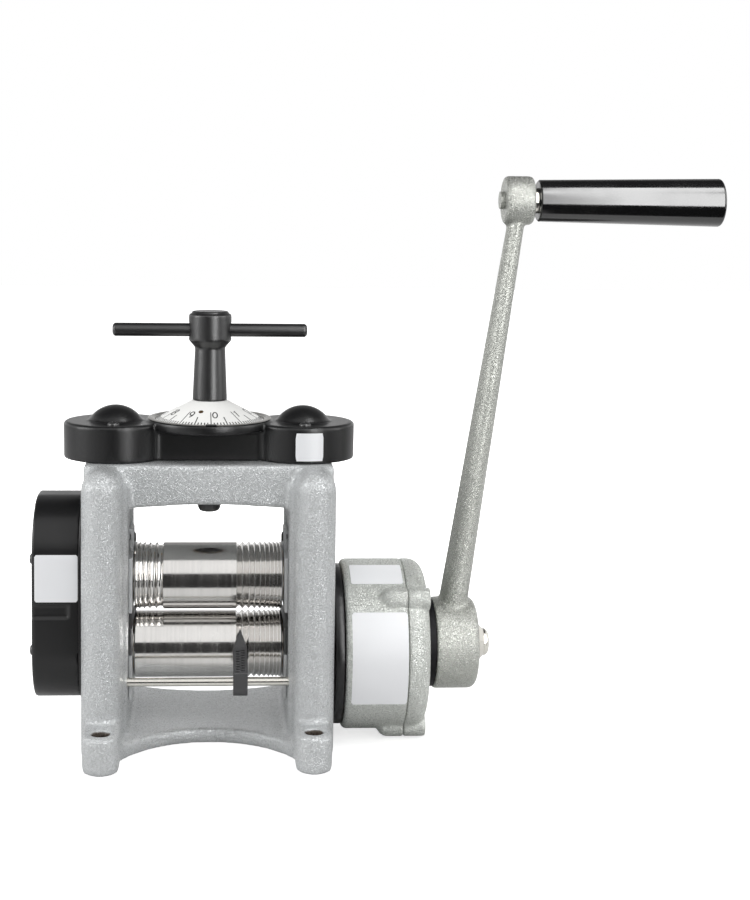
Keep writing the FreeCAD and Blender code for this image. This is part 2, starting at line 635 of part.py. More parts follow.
piece(group("CoverScrews", [
    headed_screw(f"CoverScrew{n}", ("-cover_outer", y, z), "cover_screw_radius", "cover_outer - frame_half_width",
                 "cover_screw_head", "cover_screw_head_height", "X", 1)
    for n, (y, z) in enumerate(cover_screw_spots)]), "cover_screws")
plate_solid = slab("CoverPlateSolid", cover_outline("-cover_lip"), "X", f"-{COVER_INNER}", "-frame_half_width")
plate_window = box("CoverPlateWindow",
                   (f"-{COVER_INNER} - 1", "-journal_radius - 3", "lower_axis - journal_radius - 3"),
                   ("-frame_half_width + 1", "journal_radius + 3", f"{UPPER_AXIS} + journal_radius + 6"))
plate_holes = [
    rod(f"PlateHole{n}", "cover_screw_radius", "cover_plate + 2", (f"-{COVER_INNER} - 1", y, z), "X")
    for n, (y, z) in enumerate(cover_screw_spots)
]
piece(cut("CoverPlate", plate_solid, [plate_window] + plate_holes), "gear_cover_plate")


# ---------------------------------------------------------------- guide rod and wire guide

piece(rod("GuideRod", "rod_radius", "2 * (wall_inner + rod_seat) - 2 * slide_gap",
          ("-wall_inner - rod_seat + slide_gap", "-rod_y", "rod_height"), "X"), "guide_rod")


def wire_guide():
    """A pointed guide that rides on the rod and leans towards the lower roll, with its back hollowed to the roll."""
    low, high = "guide_x - guide_width / 2", "guide_x + guide_width / 2"
    reach = "(roll_radius + guide_gap)"

    def back(height):
        return f"-sqrt({reach} * {reach} - ({height} - lower_axis) * ({height} - lower_axis))"
    hollow_low = "(guide_tip_z - guide_hollow)"
    tip = back("guide_tip_z")
    blade = [
        ("-rod_y - guide_boss", "guide_bottom + 3"), ("-rod_y - guide_boss + 3", "guide_bottom"),
        ("-rod_y + guide_boss - 2", "guide_bottom"), ("-rod_y + guide_boss + 3", "rod_height + 3"),
        (back(hollow_low), hollow_low, reach, -1), (tip, "guide_tip_z"),
        (f"{tip} - guide_tip_thickness", "guide_tip_z"), (f"{tip} - 12", "guide_tip_z - 10"),
        ("-rod_y - guide_boss", "rod_height + 8"),
    ]
    solid = slab("GuideBlade", blade, "X", low, high)
    front = [
        (low, "guide_bottom"), (high, "guide_bottom"), (high, "guide_tip_z - guide_point"),
        ("guide_x", "guide_tip_z + 1"), (low, "guide_tip_z - guide_point"),
    ]
    point = slab("GuidePoint", front, "Y", "-rod_y - 2 * guide_boss", 0)
    both = doc.addObject("Part::MultiCommon", "GuideBody")
    both.Shapes = [solid, point]
    bore = rod("GuideBore", "rod_radius + running_gap", "guide_width + 2", (f"{low} - 1", "-rod_y", "rod_height"), "X")
    return cut("WireGuide", both, [bore])


piece(wire_guide(), "wire_guide")


# ---------------------------------------------------------------- pressure screws and their bushes

screw_phase = {}
for side, hand in ((-1, "left"), (1, "right")):
    screw_low = f"{UPPER_CHOCK_TOP} + slide_gap"
    screw = turned(f"PressureScrew{hand}", [
        (screw_low, 0), (screw_low, "screw_end_radius"), (f"{screw_low} + 3", "screw_end_radius"),
        (f"{screw_low} + 3", "screw_radius"), ("frame_top", "screw_radius"), ("frame_top", "gear_boss_radius"),
        ("screw_top - 1", "gear_boss_radius"), ("screw_top", "gear_boss_radius - 1"), ("screw_top", 0),
    ], (f"{side} * {SCREW_X}", 0, 0), "Z")
    piece(screw, f"pressure_screw_{hand}")
piece(group("ScrewBushes", [
    ring(f"ScrewBush{side + 1}", SCREW_BUSH_RADIUS, "screw_radius + running_gap", "slot_top", "frame_top",
         (f"{side} * {SCREW_X}", 0, 0), "Z") for side in (-1, 1)]), "screw_bushes")


# ---------------------------------------------------------------- gears under the cap

centre_teeth, idler_teeth, spindle_teeth = (int(size(n)) for n in ("centre_teeth", "idler_teeth", "spindle_teeth"))
piece(gear("CentreGear", "centre_teeth", "cap_module", "cap_gear_low", "cap_gear_width", 0, (0, 0, 0), "Z",
           "shaft_radius"), "centre_gear")
for side, hand, direction in ((-1, "left", math.pi), (1, "right", 0)):
    idler_phase = meshed(direction, 0, centre_teeth, idler_teeth)
    piece(gear(f"Idler{hand}", "idler_teeth", "cap_module", "cap_gear_low", "cap_gear_width", idler_phase,
               (f"{side} * {IDLER_X}", 0, 0), "Z", "idler_pin_radius + running_gap"), f"idler_gear_{hand}")
    spindle_phase = meshed(direction, idler_phase, idler_teeth, spindle_teeth)
    piece(gear(f"SpindleGear{hand}", "spindle_teeth", "cap_module", "spindle_gear_low", "spindle_gear_width",
               spindle_phase, (f"{side} * {SCREW_X}", 0, 0), "Z", "gear_boss_radius"), f"spindle_gear_{hand}")
piece(group("IdlerPins", [
    rod(f"IdlerPin{side + 1}", "idler_pin_radius", "cap_gear_low + cap_gear_width + 1 - frame_top - cap_plate",
        (f"{side} * {IDLER_X}", 0, "frame_top + cap_plate")) for side in (-1, 1)]), "idler_pins")


# ---------------------------------------------------------------- cap and its plate

def cap_outline(inset):
    """Two round lobes joined by a narrower web, with the corners between them filled in."""
    lobe, web, blend = f"(lobe_radius - {inset})", f"(web_half_depth - {inset})", f"(cap_blend + {inset})"
    reach = f"({lobe} + {blend})"
    drop = f"({web} + {blend})"
    across = f"sqrt({reach} * {reach} - {drop} * {drop})"
    flat_x = f"({SCREW_X} - {across})"
    lobe_x = f"({flat_x} + {across} * {blend} / {reach})"
    lobe_y = f"({drop} - {drop} * {blend} / {reach})"
    right = [
        (flat_x, f"-{web}", blend, -1), (lobe_x, f"-{lobe_y}", lobe, 1), (SCREW_X, f"-{lobe}", lobe, 1),
        (f"{SCREW_X} + {lobe}", 0, lobe, 1), (SCREW_X, lobe, lobe, 1), (lobe_x, lobe_y, blend, -1),
        (flat_x, web),
    ]
    left = [
        (f"-{flat_x}", web, blend, -1), (f"-{lobe_x}", lobe_y, lobe, 1), (f"-({SCREW_X})", lobe, lobe, 1),
        (f"-({SCREW_X}) - {lobe}", 0, lobe, 1), (f"-({SCREW_X})", f"-{lobe}", lobe, 1),
        (f"-{lobe_x}", f"-{lobe_y}", blend, -1), (f"-{flat_x}", f"-{web}"),
    ]
    return right + left


def dome(label, side, inset):
    """A shallow dome on a lobe, or with an inset the hollow under it."""
    rim, rise = f"(dome_radius - {inset})", f"(dome_height - {inset})"
    curve = f"(({rim} * {rim} + {rise} * {rise}) / (2 * {rise}))"
    low = "cap_top - cap_roof - 1" if inset else "cap_top - 1"
    path = [(low, 0), (f"cap_top + {rise}", 0, curve, 1), ("cap_top", rim), (low, rim)]
    return turned(label, path, (f"{side} * {SCREW_X}", 0, 0), "Z")


cap_screw_spots = [(f"{side} * {SCREW_X}", f"{end} * cap_screw_y") for side in (-1, 1) for end in (-1, 1)]


def gear_cap():
    solid = slab("CapSolid", cap_outline(0), "Z", "frame_top", "cap_top")
    top_edge = rounded("CapEdge", solid, "cap_edge", on_plane("Z", "cap_top"), "Part::Chamfer")
    bezel = turned("CapBezel", [
        ("bezel_low", 0), ("bezel_low", "bezel_radius - 1"), ("bezel_low + 1", "bezel_radius"),
        ("bezel_top - 1", "bezel_radius"), ("bezel_top", "bezel_radius - 1"),
        ("bezel_top", "bezel_radius - bezel_lip"), ("dial_low - slide_gap", "bezel_radius - bezel_lip - 1"),
        ("dial_low - slide_gap", 0),
    ], (0, 0, 0), "Z")
    solids = [top_edge, bezel] + [dome(f"CapDome{side + 1}", side, 0) for side in (-1, 1)]
    hollow = slab("CapHollow", cap_outline("cap_wall"), "Z", "frame_top - 1", "cap_top - cap_roof")
    shaft_hole = rod("CapShaftHole", "shaft_radius + slide_gap", "cap_roof + 5", (0, 0, "cap_top - cap_roof - 1"))
    tools = [hollow, shaft_hole] + [dome(f"CapDomeHollow{side + 1}", side, "dome_wall") for side in (-1, 1)]
    tools += [rod(f"CapScrewHole{n}", "cap_screw_radius", "cap_roof + 3", (x, y, "cap_top - cap_roof - 1"))
              for n, (x, y) in enumerate(cap_screw_spots)]
    return cut("GearCap", fuse("CapFused", solids), tools)


piece(gear_cap(), "gear_cap")
piece(group("CapScrews", [
    headed_screw(f"CapScrew{n}", (x, y, "cap_top"), "cap_screw_radius", "cap_roof", "cap_screw_head",
                 "cap_screw_head_height", "Z", -1)
    for n, (x, y) in enumerate(cap_screw_spots)]), "cap_screws")
cap_plate = slab("CapPlateSolid", cap_outline("cap_wall"), "Z", "frame_top", "frame_top + cap_plate")
piece(cut("CapPlate", cap_plate, [
    rod(f"CapPlateHole{n}", radius, "cap_plate + 2", (x, 0, "frame_top - 1"))
    for n, (x, radius) in enumerate([
        (0, "shaft_radius + slide_gap"), (f"-({SCREW_X})", f"{SCREW_BUSH_RADIUS}"), (SCREW_X, SCREW_BUSH_RADIUS)])
]), "cap_plate")


# ---------------------------------------------------------------- dial and T-handle

piece(ring("CentreBush", "shaft_radius + centre_bush_wall", "shaft_radius + running_gap", BRIDGE_MIDDLE,
           "frame_top", (0, 0, 0), "Z"), "centre_bush")
piece(turned("CentreShaft", [
    ("nut_low", 0), ("nut_low", "shaft_radius"), ("dial_top", "shaft_radius"),
    ("hub_neck_top", "shaft_radius"), ("hub_neck_top", 0),
], (0, 0, 0), "Z"), "centre_shaft")
piece(turned("ShaftNut", [
    ("nut_low", "shaft_radius"), ("nut_low", "nut_radius - 1.5"), ("nut_low + 1.5", "nut_radius"),
    (f"{BRIDGE_MIDDLE} - slide_gap", "nut_radius"), (f"{BRIDGE_MIDDLE} - slide_gap", "shaft_radius"),
], (0, 0, 0), "Z"), "shaft_nut")
piece(turned("Dial", [
    ("dial_low", "shaft_radius"), ("dial_low", "dial_radius - 1"), ("dial_low + dial_rim", "dial_radius"),
    ("dial_top", "dial_top_radius"), ("dial_top", "shaft_radius"),
], (0, 0, 0), "Z"), "dial")
hub_solid = turned("HubSolid", [
    ("dial_top", "shaft_radius"), ("dial_top", "hub_neck_low"), ("hub_neck_top", "hub_neck_high"),
    ("hub_shoulder", "hub_radius"), ("hub_top - hub_edge", "hub_radius", "hub_edge", 1),
    ("hub_top", "hub_radius - hub_edge"), ("hub_top", 0), ("hub_neck_top", 0), ("hub_neck_top", "shaft_radius"),
], (0, 0, 0), "Z")
hub_bore = rod("HubBore", "t_bar_radius", "3 * hub_radius", ("-1.5 * hub_radius", 0, "t_bar_height"), "X")
piece(cut("THandleHub", hub_solid, [hub_bore]), "t_handle_hub")
half_bar = "t_bar_length / 2"
piece(turned("TBar", [
    (f"-{half_bar}", 0), (f"-{half_bar}", "t_bar_radius - t_bar_end"),
    (f"-{half_bar} + t_bar_end", "t_bar_radius"), (f"{half_bar} - t_bar_end", "t_bar_radius"),
    (half_bar, "t_bar_radius - t_bar_end"), (half_bar, 0),
], (0, 0, "t_bar_height")), "t_bar")


# ---------------------------------------------------------------- gearbox

piece(cut("AdapterPlate", rod("AdapterSolid", "adapter_radius", "adapter_thickness", (ADAPTER_LEFT, 0, "lower_axis"),
                              "X"),
          [rod("AdapterHole", "journal_radius + 2", "adapter_thickness + 2",
               (f"{ADAPTER_LEFT} - 1", 0, "lower_axis"), "X")]), "adapter_plate")


def lug_places():
    """The two screw lugs at the front of the case and the two behind, as places across the axis."""
    return [
        (f"{y} * lug_distance * cos({angle})", f"lower_axis + {z} * lug_distance * sin({angle})")
        for y in (-1, 1) for z, angle in ((-1, "lug_low_angle"), (1, "lug_high_angle"))
    ]


def case_half(label, low, high, lug_low, hollow_low, hollow_high, hole_radius, edge, outer):
    """One half of the gearbox case: a cup with lugs for the screws, which end in domes on the inner half."""
    solid = rod(label + "_drum", "gearbox_radius", f"({high}) - ({low})", (low, 0, "lower_axis"), "X")
    solid = rounded(label + "_edge", solid, edge, on_plane("X", high if outer else low))
    lugs = []
    for n, (y, z) in enumerate(lug_places()):
        lugs.append(rod(f"{label}_lug{n}", "lug_radius", f"({high}) - ({lug_low})", (lug_low, y, z), "X"))
        if not outer:
            lugs.append(ball(f"{label}_lug_end{n}", "lug_radius", (lug_low, y, z)))
    hollow = rod(label + "_hollow", "gearbox_radius - gearbox_wall", f"({hollow_high}) - ({hollow_low})",
                 (hollow_low, 0, "lower_axis"), "X")
    hole = rod(label + "_hole", hole_radius, f"({high}) - ({low}) + 2", (f"{low} - 1", 0, "lower_axis"), "X")
    holes = []
    for n, (y, z) in enumerate(lug_places()):
        holes.append(rod(f"{label}_screw_hole{n}", "case_screw_radius", f"({high}) - ({lug_low}) + 2",
                         (f"{lug_low} - 1", y, z), "X"))
        if outer:
            holes.append(rod(f"{label}_recess{n}", "case_screw_head + slide_gap", "case_screw_head_height + 1",
                             (SCREW_SEAT, y, z), "X"))
    return cut(label, fuse(label + "_solid", [solid] + lugs), [hollow, hole] + holes)


piece(case_half("GearboxBody", "gearbox_left", "gearbox_split", "lug_low_x", "gearbox_left + gearbox_wall",
                "gearbox_split + 1", "coupling_radius + 2", "gearbox_left_edge", False), "gearbox_body")
piece(case_half("GearboxCover", "gearbox_split", "gearbox_right", "gearbox_split", "gearbox_split - 1",
                "gearbox_right - 2 * gearbox_wall", "bearing_radius", "gearbox_edge", True), "gearbox_cover")
piece(group("GearboxScrews", [
    headed_screw(f"CaseScrew{n}", (SCREW_SEAT, y, z), "case_screw_radius", f"{SCREW_SEAT} - lug_low_x",
                 "case_screw_head", "case_screw_head_height", "X", -1)
    for n, (y, z) in enumerate(lug_places())]), "gearbox_screws")
piece(ring("ShaftBearing", "bearing_radius", "crank_shaft_radius + running_gap",
           "gearbox_right - 2 * gearbox_wall", "gearbox_right", (0, 0, "lower_axis")), "shaft_bearing")
piece(ring("OilSeal", "seal_radius", "crank_shaft_radius + running_gap", "gearbox_right",
           "arm_left - slide_gap", (0, 0, "lower_axis")), "oil_seal")

sun_teeth, planet_teeth, ring_teeth = (int(size(n)) for n in ("sun_teeth", "planet_teeth", "ring_teeth"))
planet_low = "(ring_left + (ring_width - planet_width) / 2)"
PLANET_STATIONS = [math.pi / 2 + 2 * math.pi * n / 3 for n in range(3)]
planet_phases = [meshed(station, 0, sun_teeth, planet_teeth) for station in PLANET_STATIONS]
ring_phase = PLANET_STATIONS[0] - (PLANET_STATIONS[0] - planet_phases[0]) * planet_teeth / ring_teeth
piece(gear("RingGear", "ring_teeth", "planet_module", "ring_left", "ring_width", ring_phase, (0, 0, "lower_axis"),
           "X", 0, rim="gearbox_radius - gearbox_wall"), "ring_gear")
piece(gear("SunGear", "sun_teeth", "planet_module", planet_low, "planet_width", 0, (0, 0, "lower_axis"), "X",
           "crank_shaft_radius - 4"), "sun_gear")
planet_spots = []
for n, station in enumerate(PLANET_STATIONS):
    degrees = round(math.degrees(station))
    spot = (f"{PLANET_DISTANCE} * cos({degrees})", f"lower_axis + {PLANET_DISTANCE} * sin({degrees})")
    planet_spots.append(spot)
    piece(gear(f"Planet{n}", "planet_teeth", "planet_module", planet_low, "planet_width", planet_phases[n],
               (0, *spot), "X", "planet_pin_radius + running_gap"), f"planet_gear_{n + 1}")
carrier_disc = rod("CarrierDisc", "carrier_radius", "carrier_thickness", ("carrier_left", 0, "lower_axis"), "X")
piece(cut("Carrier", carrier_disc, [
    rod(f"CarrierHole{n}", "planet_pin_radius", "carrier_thickness + 2", ("carrier_left - 1", y, z), "X")
    for n, (y, z) in enumerate(planet_spots)]), "planet_carrier")
piece(group("PlanetPins", [
    rod(f"PlanetPin{n}", "planet_pin_radius", f"{planet_low} + planet_width + 1 - carrier_left",
        ("carrier_left", y, z), "X") for n, (y, z) in enumerate(planet_spots)]), "planet_pins")


# ---------------------------------------------------------------- crank

piece(turned("CrankShaft", [
    (planet_low, 0), (planet_low, "crank_shaft_radius - 4"), (f"{planet_low} + planet_width", "crank_shaft_radius - 4"),
    (f"{planet_low} + planet_width", "crank_shaft_radius"), ("arm_hub_right", "crank_shaft_radius"),
    ("arm_hub_right", 0),
], (0, 0, "lower_axis")), "crank_shaft")


def crank_arm():
    """A tapered arm of oval section that leans outwards between a hub on the shaft and a boss for the grip."""
    hub = rod("ArmHub", "arm_hub_radius", "arm_hub_right - arm_left", ("arm_left", 0, "lower_axis"), "X")
    hub = rounded("ArmHubLeft", hub, "arm_hub_left_edge", on_plane("X", "arm_left"))
    hub = rounded("ArmHubRound", hub, "arm_hub_edge", on_plane("X", "arm_hub_right"))
    boss = rounded("ArmBossRound", rod("ArmBoss", "boss_radius", "boss_right - boss_left",
                                       ("boss_left", 0, CRANK_HEIGHT), "X"),
                   "boss_edge", lambda edge: edge.Closed)
    ovals = []
    for end, height in (("low", "lower_axis"), ("high", CRANK_HEIGHT)):
        oval = doc.addObject("Part::Ellipse", f"ArmOval{end}")
        tie(oval, MajorRadius=f"arm_depth_{end}", MinorRadius=f"arm_half_{end}")
        ovals.append(put(oval, (f"arm_centre_{end}", 0, height), TURNED_ALONG["Y"]))
    bar = doc.addObject("Part::Loft", "ArmBar")
    bar.Sections = ovals
    bar.Solid = True
    bar.Ruled = True
    bores = [
        rod("ArmShaftBore", "crank_shaft_radius", "arm_hub_right - arm_left + 2", ("arm_left - 1", 0, "lower_axis"),
            "X"),
        rod("ArmPinBore", "pin_radius", "boss_right - boss_left + 2", ("boss_left - 1", 0, CRANK_HEIGHT), "X"),
    ]
    return cut("CrankArm", fuse("ArmFused", [bar, hub, boss]), bores)


piece(crank_arm(), "crank_arm")
piece(turned("CrankWasher", [
    ("arm_hub_right", 0), ("arm_hub_right", "crank_washer_radius"), ("arm_hub_right + 1.5", "crank_washer_radius"),
    ("crank_washer_right", "crank_washer_crown"), ("crank_washer_right", 0),
], (0, 0, "lower_axis")), "crank_washer")
bolt_rise = "(crank_bolt_right - crank_washer_right - crank_bolt_edge)"
bolt_slope = "(crank_bolt_radius - crank_bolt_flat)"
piece(turned("CrankBolt", [
    ("crank_washer_right", 0), ("crank_washer_right", "crank_bolt_radius"),
    ("crank_washer_right + crank_bolt_edge", "crank_bolt_radius",
     f"sqrt({bolt_rise} * {bolt_rise} + {bolt_slope} * {bolt_slope})", -1),
    ("crank_bolt_right", "crank_bolt_flat"), ("crank_bolt_right", 0),
], (0, 0, "lower_axis")), "crank_bolt")


# ---------------------------------------------------------------- grip

pin_end = "(grip_right - pin_end_depth)"
piece(turned("GripPin", [
    ("boss_left - pin_head_height", 0), ("boss_left - pin_head_height", "pin_head_radius"),
    ("boss_left", "pin_head_radius"), ("boss_left", "pin_radius"), (pin_end, "pin_radius"), (pin_end, 0),
], (0, 0, CRANK_HEIGHT)), "grip_pin")
piece(ring("GripWasher", "grip_washer_radius", "pin_radius", "boss_right", "grip_left - slide_gap",
           (0, 0, CRANK_HEIGHT)), "grip_washer")
piece(turned("Grip", [
    ("grip_left", PIN_BORE), ("grip_left", "grip_radius_left - 1"), ("grip_left + 1", "grip_radius_left"),
    ("grip_right - grip_edge", "grip_radius_right", "grip_edge", -1),
    ("grip_right", "grip_radius_right - grip_edge"), ("grip_right", 0), (f"{pin_end} + slide_gap", 0),
    (f"{pin_end} + slide_gap", PIN_BORE),
], (0, 0, CRANK_HEIGHT)), "grip")


# ---------------------------------------------------------------- checks and files

doc.recompute()
for item in doc.Objects:
    if "Invalid" in item.State or "Error" in item.State:
        raise RuntimeError(f"{item.Label} did not build: {item.State}")
for item in pieces:
    if item.Shape.isNull() or not item.Shape.isValid() or not item.Shape.Solids:
        raise RuntimeError(f"{item.Label} has no sound solid")
os.makedirs("parts", exist_ok=True)
for item in pieces:
    item.Shape.exportStep(f"parts/{item.Label}.step")
print(f"{len(pieces)} sub-parts written")
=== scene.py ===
"""Finishes and small pieces of the jewellers rolling mill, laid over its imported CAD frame.

Pieces are made in millimetres. Materials, lamps and the camera are in metres, as the frame is.
"""
import json
import math

import bmesh
import bpy
from mathutils import Matrix, Vector


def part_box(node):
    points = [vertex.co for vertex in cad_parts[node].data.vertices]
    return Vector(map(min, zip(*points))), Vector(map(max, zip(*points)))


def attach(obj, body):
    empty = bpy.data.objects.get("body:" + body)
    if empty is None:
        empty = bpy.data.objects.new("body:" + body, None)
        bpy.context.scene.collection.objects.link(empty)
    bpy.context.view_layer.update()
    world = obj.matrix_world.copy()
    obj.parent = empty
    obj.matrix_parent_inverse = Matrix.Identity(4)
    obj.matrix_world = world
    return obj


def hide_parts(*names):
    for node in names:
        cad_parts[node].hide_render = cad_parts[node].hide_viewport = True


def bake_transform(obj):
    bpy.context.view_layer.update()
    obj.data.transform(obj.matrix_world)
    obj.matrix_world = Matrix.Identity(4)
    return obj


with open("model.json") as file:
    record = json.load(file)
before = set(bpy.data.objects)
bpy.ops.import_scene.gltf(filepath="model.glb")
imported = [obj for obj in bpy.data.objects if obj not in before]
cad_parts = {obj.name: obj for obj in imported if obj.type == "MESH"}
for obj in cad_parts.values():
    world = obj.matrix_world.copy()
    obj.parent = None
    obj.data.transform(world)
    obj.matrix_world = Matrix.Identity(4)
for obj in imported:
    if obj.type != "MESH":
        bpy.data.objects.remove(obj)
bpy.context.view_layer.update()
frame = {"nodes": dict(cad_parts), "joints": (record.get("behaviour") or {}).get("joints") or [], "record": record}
MM = 0.001
WHITE = (1.0, 1.0, 1.0)
BLACK = (0.0, 0.0, 0.0)


# ---------------------------------------------------------------- places on the mill, in millimetres

LOW, HIGH = 0, 1


def face_of(node, end, axis):
    """Where a CAD node's low or high face lies along an axis."""
    return round(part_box(node)[end]["XYZ".index(axis)] / MM, 2)


def axis_place(name):
    """The place of a joint's axis."""
    joint = next(joint for joint in frame["joints"] if joint["name"] == name)
    return [round(part / MM, 2) for part in joint["pos_m"]]


CRANK_HEIGHT = axis_place("crank_spin")[2]
SPINDLE_X = axis_place("screw_right_turn")[0]

# The cap has a flat top, with a round lobe about each spindle. The gearbox is a drum about the crank.
CAP_TOP = 235.6
LOBE_RADIUS = 38.3
DRUM_RADIUS = 63.6

# Seen along X, the gear cover is an oblong with round corners and a short flat across each end.
COVER_CORNER = 42
COVER_HALF_FLAT = 6
COVER_LOW_CORNER = face_of("gear_cover", LOW, "Z") + COVER_CORNER
COVER_HIGH_CORNER = face_of("gear_cover", HIGH, "Z") - COVER_CORNER

# The bolt holes of the feet are mirrored in X and Y.
FOOT_HOLE = (75.0, 92.0, 0.0)
FOOT_HOLE_RADIUS = 6.5

# The dial is a cone, whose side faces out and up by these shares of a length of 1. Its zero line stands a
# little to the right of the front, by an angle in degrees.
DIAL_FOOT_RADIUS, DIAL_FOOT_HEIGHT = 40.2, 236.8
DIAL_TOP_RADIUS, DIAL_TOP_HEIGHT = 13.0, face_of("dial", HIGH, "Z")
DIAL_FACES_OUT, DIAL_FACES_UP = 0.463, 0.886
DIAL_ZERO = 1.6


# ---------------------------------------------------------------- node trees

class Tree:
    """A short way to write a node tree."""

    # The places of a Mix node's sockets when it mixes colours.
    MIX_FACTOR, MIX_LOW, MIX_HIGH, MIX_RESULT = 0, 6, 7, 2

    def __init__(self, tree):
        self.tree = tree

    def add(self, kind, inputs=None, **settings):
        """A node of a kind, with its settings, and values or links for its inputs."""
        node = self.tree.nodes.new(kind)
        for name, setting in settings.items():
            setattr(node, name, setting)
        for name, source in (inputs or {}).items():
            self.feed(node.inputs[name], source)
        return node

    def feed(self, socket, source):
        """Sets a socket to a value, or links it to another node's output."""
        if isinstance(source, bpy.types.NodeSocket):
            self.tree.links.new(source, socket)
        elif isinstance(source, tuple) and len(source) == 3 and socket.type == "RGBA":
            socket.default_value = (*source, 1.0)
        else:
            socket.default_value = source

    def math(self, operation, *sources):
        """A sum on plain numbers."""
        node = self.add("ShaderNodeMath", dict(enumerate(sources)), operation=operation)
        return node.outputs["Value"]

    def vector(self, operation, *sources):
        """A sum on vectors. A length comes out as a plain number."""
        node = self.add("ShaderNodeVectorMath", dict(enumerate(sources)), operation=operation)
        return node.outputs["Value" if operation == "LENGTH" else "Vector"]

    def noise(self, point, scale, detail, roughness=0.5, distortion=0.0):
        """A cloudy value from 0 to 1, whose patches are about 1 / scale metres across."""
        cloud = self.add("ShaderNodeTexNoise", {"Vector": point, "Scale": scale, "Detail": detail,
                                                "Roughness": roughness, "Distortion": distortion})
        return cloud.outputs["Fac"]

    def blend(self, factor, low, high):
        """A colour mix."""
        node = self.add("ShaderNodeMix", data_type="RGBA")
        self.feed(node.inputs[self.MIX_FACTOR], factor)
        self.feed(node.inputs[self.MIX_LOW], low)
        self.feed(node.inputs[self.MIX_HIGH], high)
        return node.outputs[self.MIX_RESULT]

    def tint(self, colour, mask, amount, other):
        """A colour that goes part of the way to another one where a mask is high."""
        return self.blend(self.math("MULTIPLY", mask, amount), colour, other)

    def span(self, value, low, high, to_low=0.0, to_high=1.0):
        """A value stretched from one range to another, held at the ends."""
        node = self.add("ShaderNodeMapRange", {"Value": value, "From Min": low, "From Max": high,
                                               "To Min": to_low, "To Max": to_high})
        return node.outputs["Result"]

    def level(self, mask, low, high):
        """A number that goes from low to high as a mask goes from 0 to 1."""
        return self.span(mask, 0.0, 1.0, low, high)


def effect(name, inputs, outputs):
    """An empty shader node group for a surface effect that materials share: numbers go in and come out."""
    group = bpy.data.node_groups.new(name, "ShaderNodeTree")
    for label, value in inputs.items():
        socket = group.interface.new_socket(label, in_out="INPUT", socket_type="NodeSocketFloat")
        socket.default_value = value
    for label in outputs:
        group.interface.new_socket(label, in_out="OUTPUT", socket_type="NodeSocketFloat")
    tree = Tree(group)
    return group, tree, tree.add("NodeGroupInput").outputs, tree.add("NodeGroupOutput").inputs


def object_point(tree):
    """The surface point in the object's own coordinates, which don't slide when a body moves."""
    return tree.add("ShaderNodeTexCoord").outputs["Object"]


def build_hammer():
    """Hammer-finish paint: small ridges that wind about and run together, over rounder swellings."""
    group, tree, given, made = effect(
        "hammer_finish", {"Ridge": 0.0011, "Swell": 0.5}, ("Height", "Valley"))
    middle, half_ridge = 0.5, 0.13
    point = object_point(tree)
    scale = tree.math("DIVIDE", 1.0, given["Ridge"])
    winding = tree.noise(point, tree.math("MULTIPLY", scale, 0.55), detail=1.0, distortion=0.9)
    away = tree.math("ABSOLUTE", tree.math("SUBTRACT", winding, middle))
    ridges = tree.span(away, 0.0, half_ridge, 1.0, 0.0)
    swells = tree.noise(point, tree.math("MULTIPLY", scale, 0.4), detail=2.0)
    height = tree.math("MULTIPLY_ADD", swells, given["Swell"], ridges)
    tree.feed(made["Height"], height)
    # Valley is 1 in the hammer's low places, where the paints darken their colour as painted shade.
    tree.feed(made["Valley"], tree.span(height, 0.25, 1.0, 1.0, 0.0))
    return group


def build_grain():
    """Fine moulded or powder-coated grain, with slow patches of sheen."""
    group, tree, given, made = effect("fine_grain", {"Size": 0.0004}, ("Height", "Patch"))
    point = object_point(tree)
    speck = tree.noise(point, tree.math("DIVIDE", 1.0, given["Size"]), detail=2.0, roughness=0.6)
    slow = tree.noise(point, scale=34.0, detail=3.0, roughness=0.6)
    tree.feed(made["Height"], speck)
    tree.feed(made["Patch"], tree.span(slow, 0.35, 0.65))
    return group


def build_turning():
    """Marks that go round the X axis, as grinding or turning leaves them, with faint smears across them."""
    group, tree, given, made = effect("turning_marks", {"Pitch": 0.0003}, ("Height", "Streak"))
    round_the_axis = (1.0, 0.012, 0.012)
    point = tree.vector("MULTIPLY", object_point(tree), round_the_axis)
    scale = tree.math("DIVIDE", 1.0, given["Pitch"])
    fine = tree.noise(point, scale, detail=2.0)
    broad = tree.noise(point, tree.math("MULTIPLY", scale, 0.12), detail=3.0)
    tree.feed(made["Height"], fine)
    tree.feed(made["Streak"], tree.span(broad, 0.3, 0.7))
    return group


def build_edges():
    """Corners found from the surface's own curvature: 1 on an edge that sticks out, where finishes paint a
    highlight.
    """
    group, tree, given, made = effect("painted_edge_highlight", {"Reach": 0.06}, ("Edge",))
    flat = 0.5
    bend = tree.add("ShaderNodeNewGeometry").outputs["Pointiness"]
    edge = tree.span(bend, flat, tree.math("ADD", given["Reach"], flat))
    # A cloudy value breaks the painted edge highlight into patches.
    highlight_breakup = tree.noise(object_point(tree), scale=260.0, detail=3.0)
    tree.feed(made["Edge"], tree.math("MULTIPLY", edge, tree.span(highlight_breakup, 0.4, 0.6)))
    return group


EFFECTS = {"hammer": build_hammer(), "grain": build_grain(), "turning": build_turning(),
           "edges": build_edges()}


# ---------------------------------------------------------------- finishes

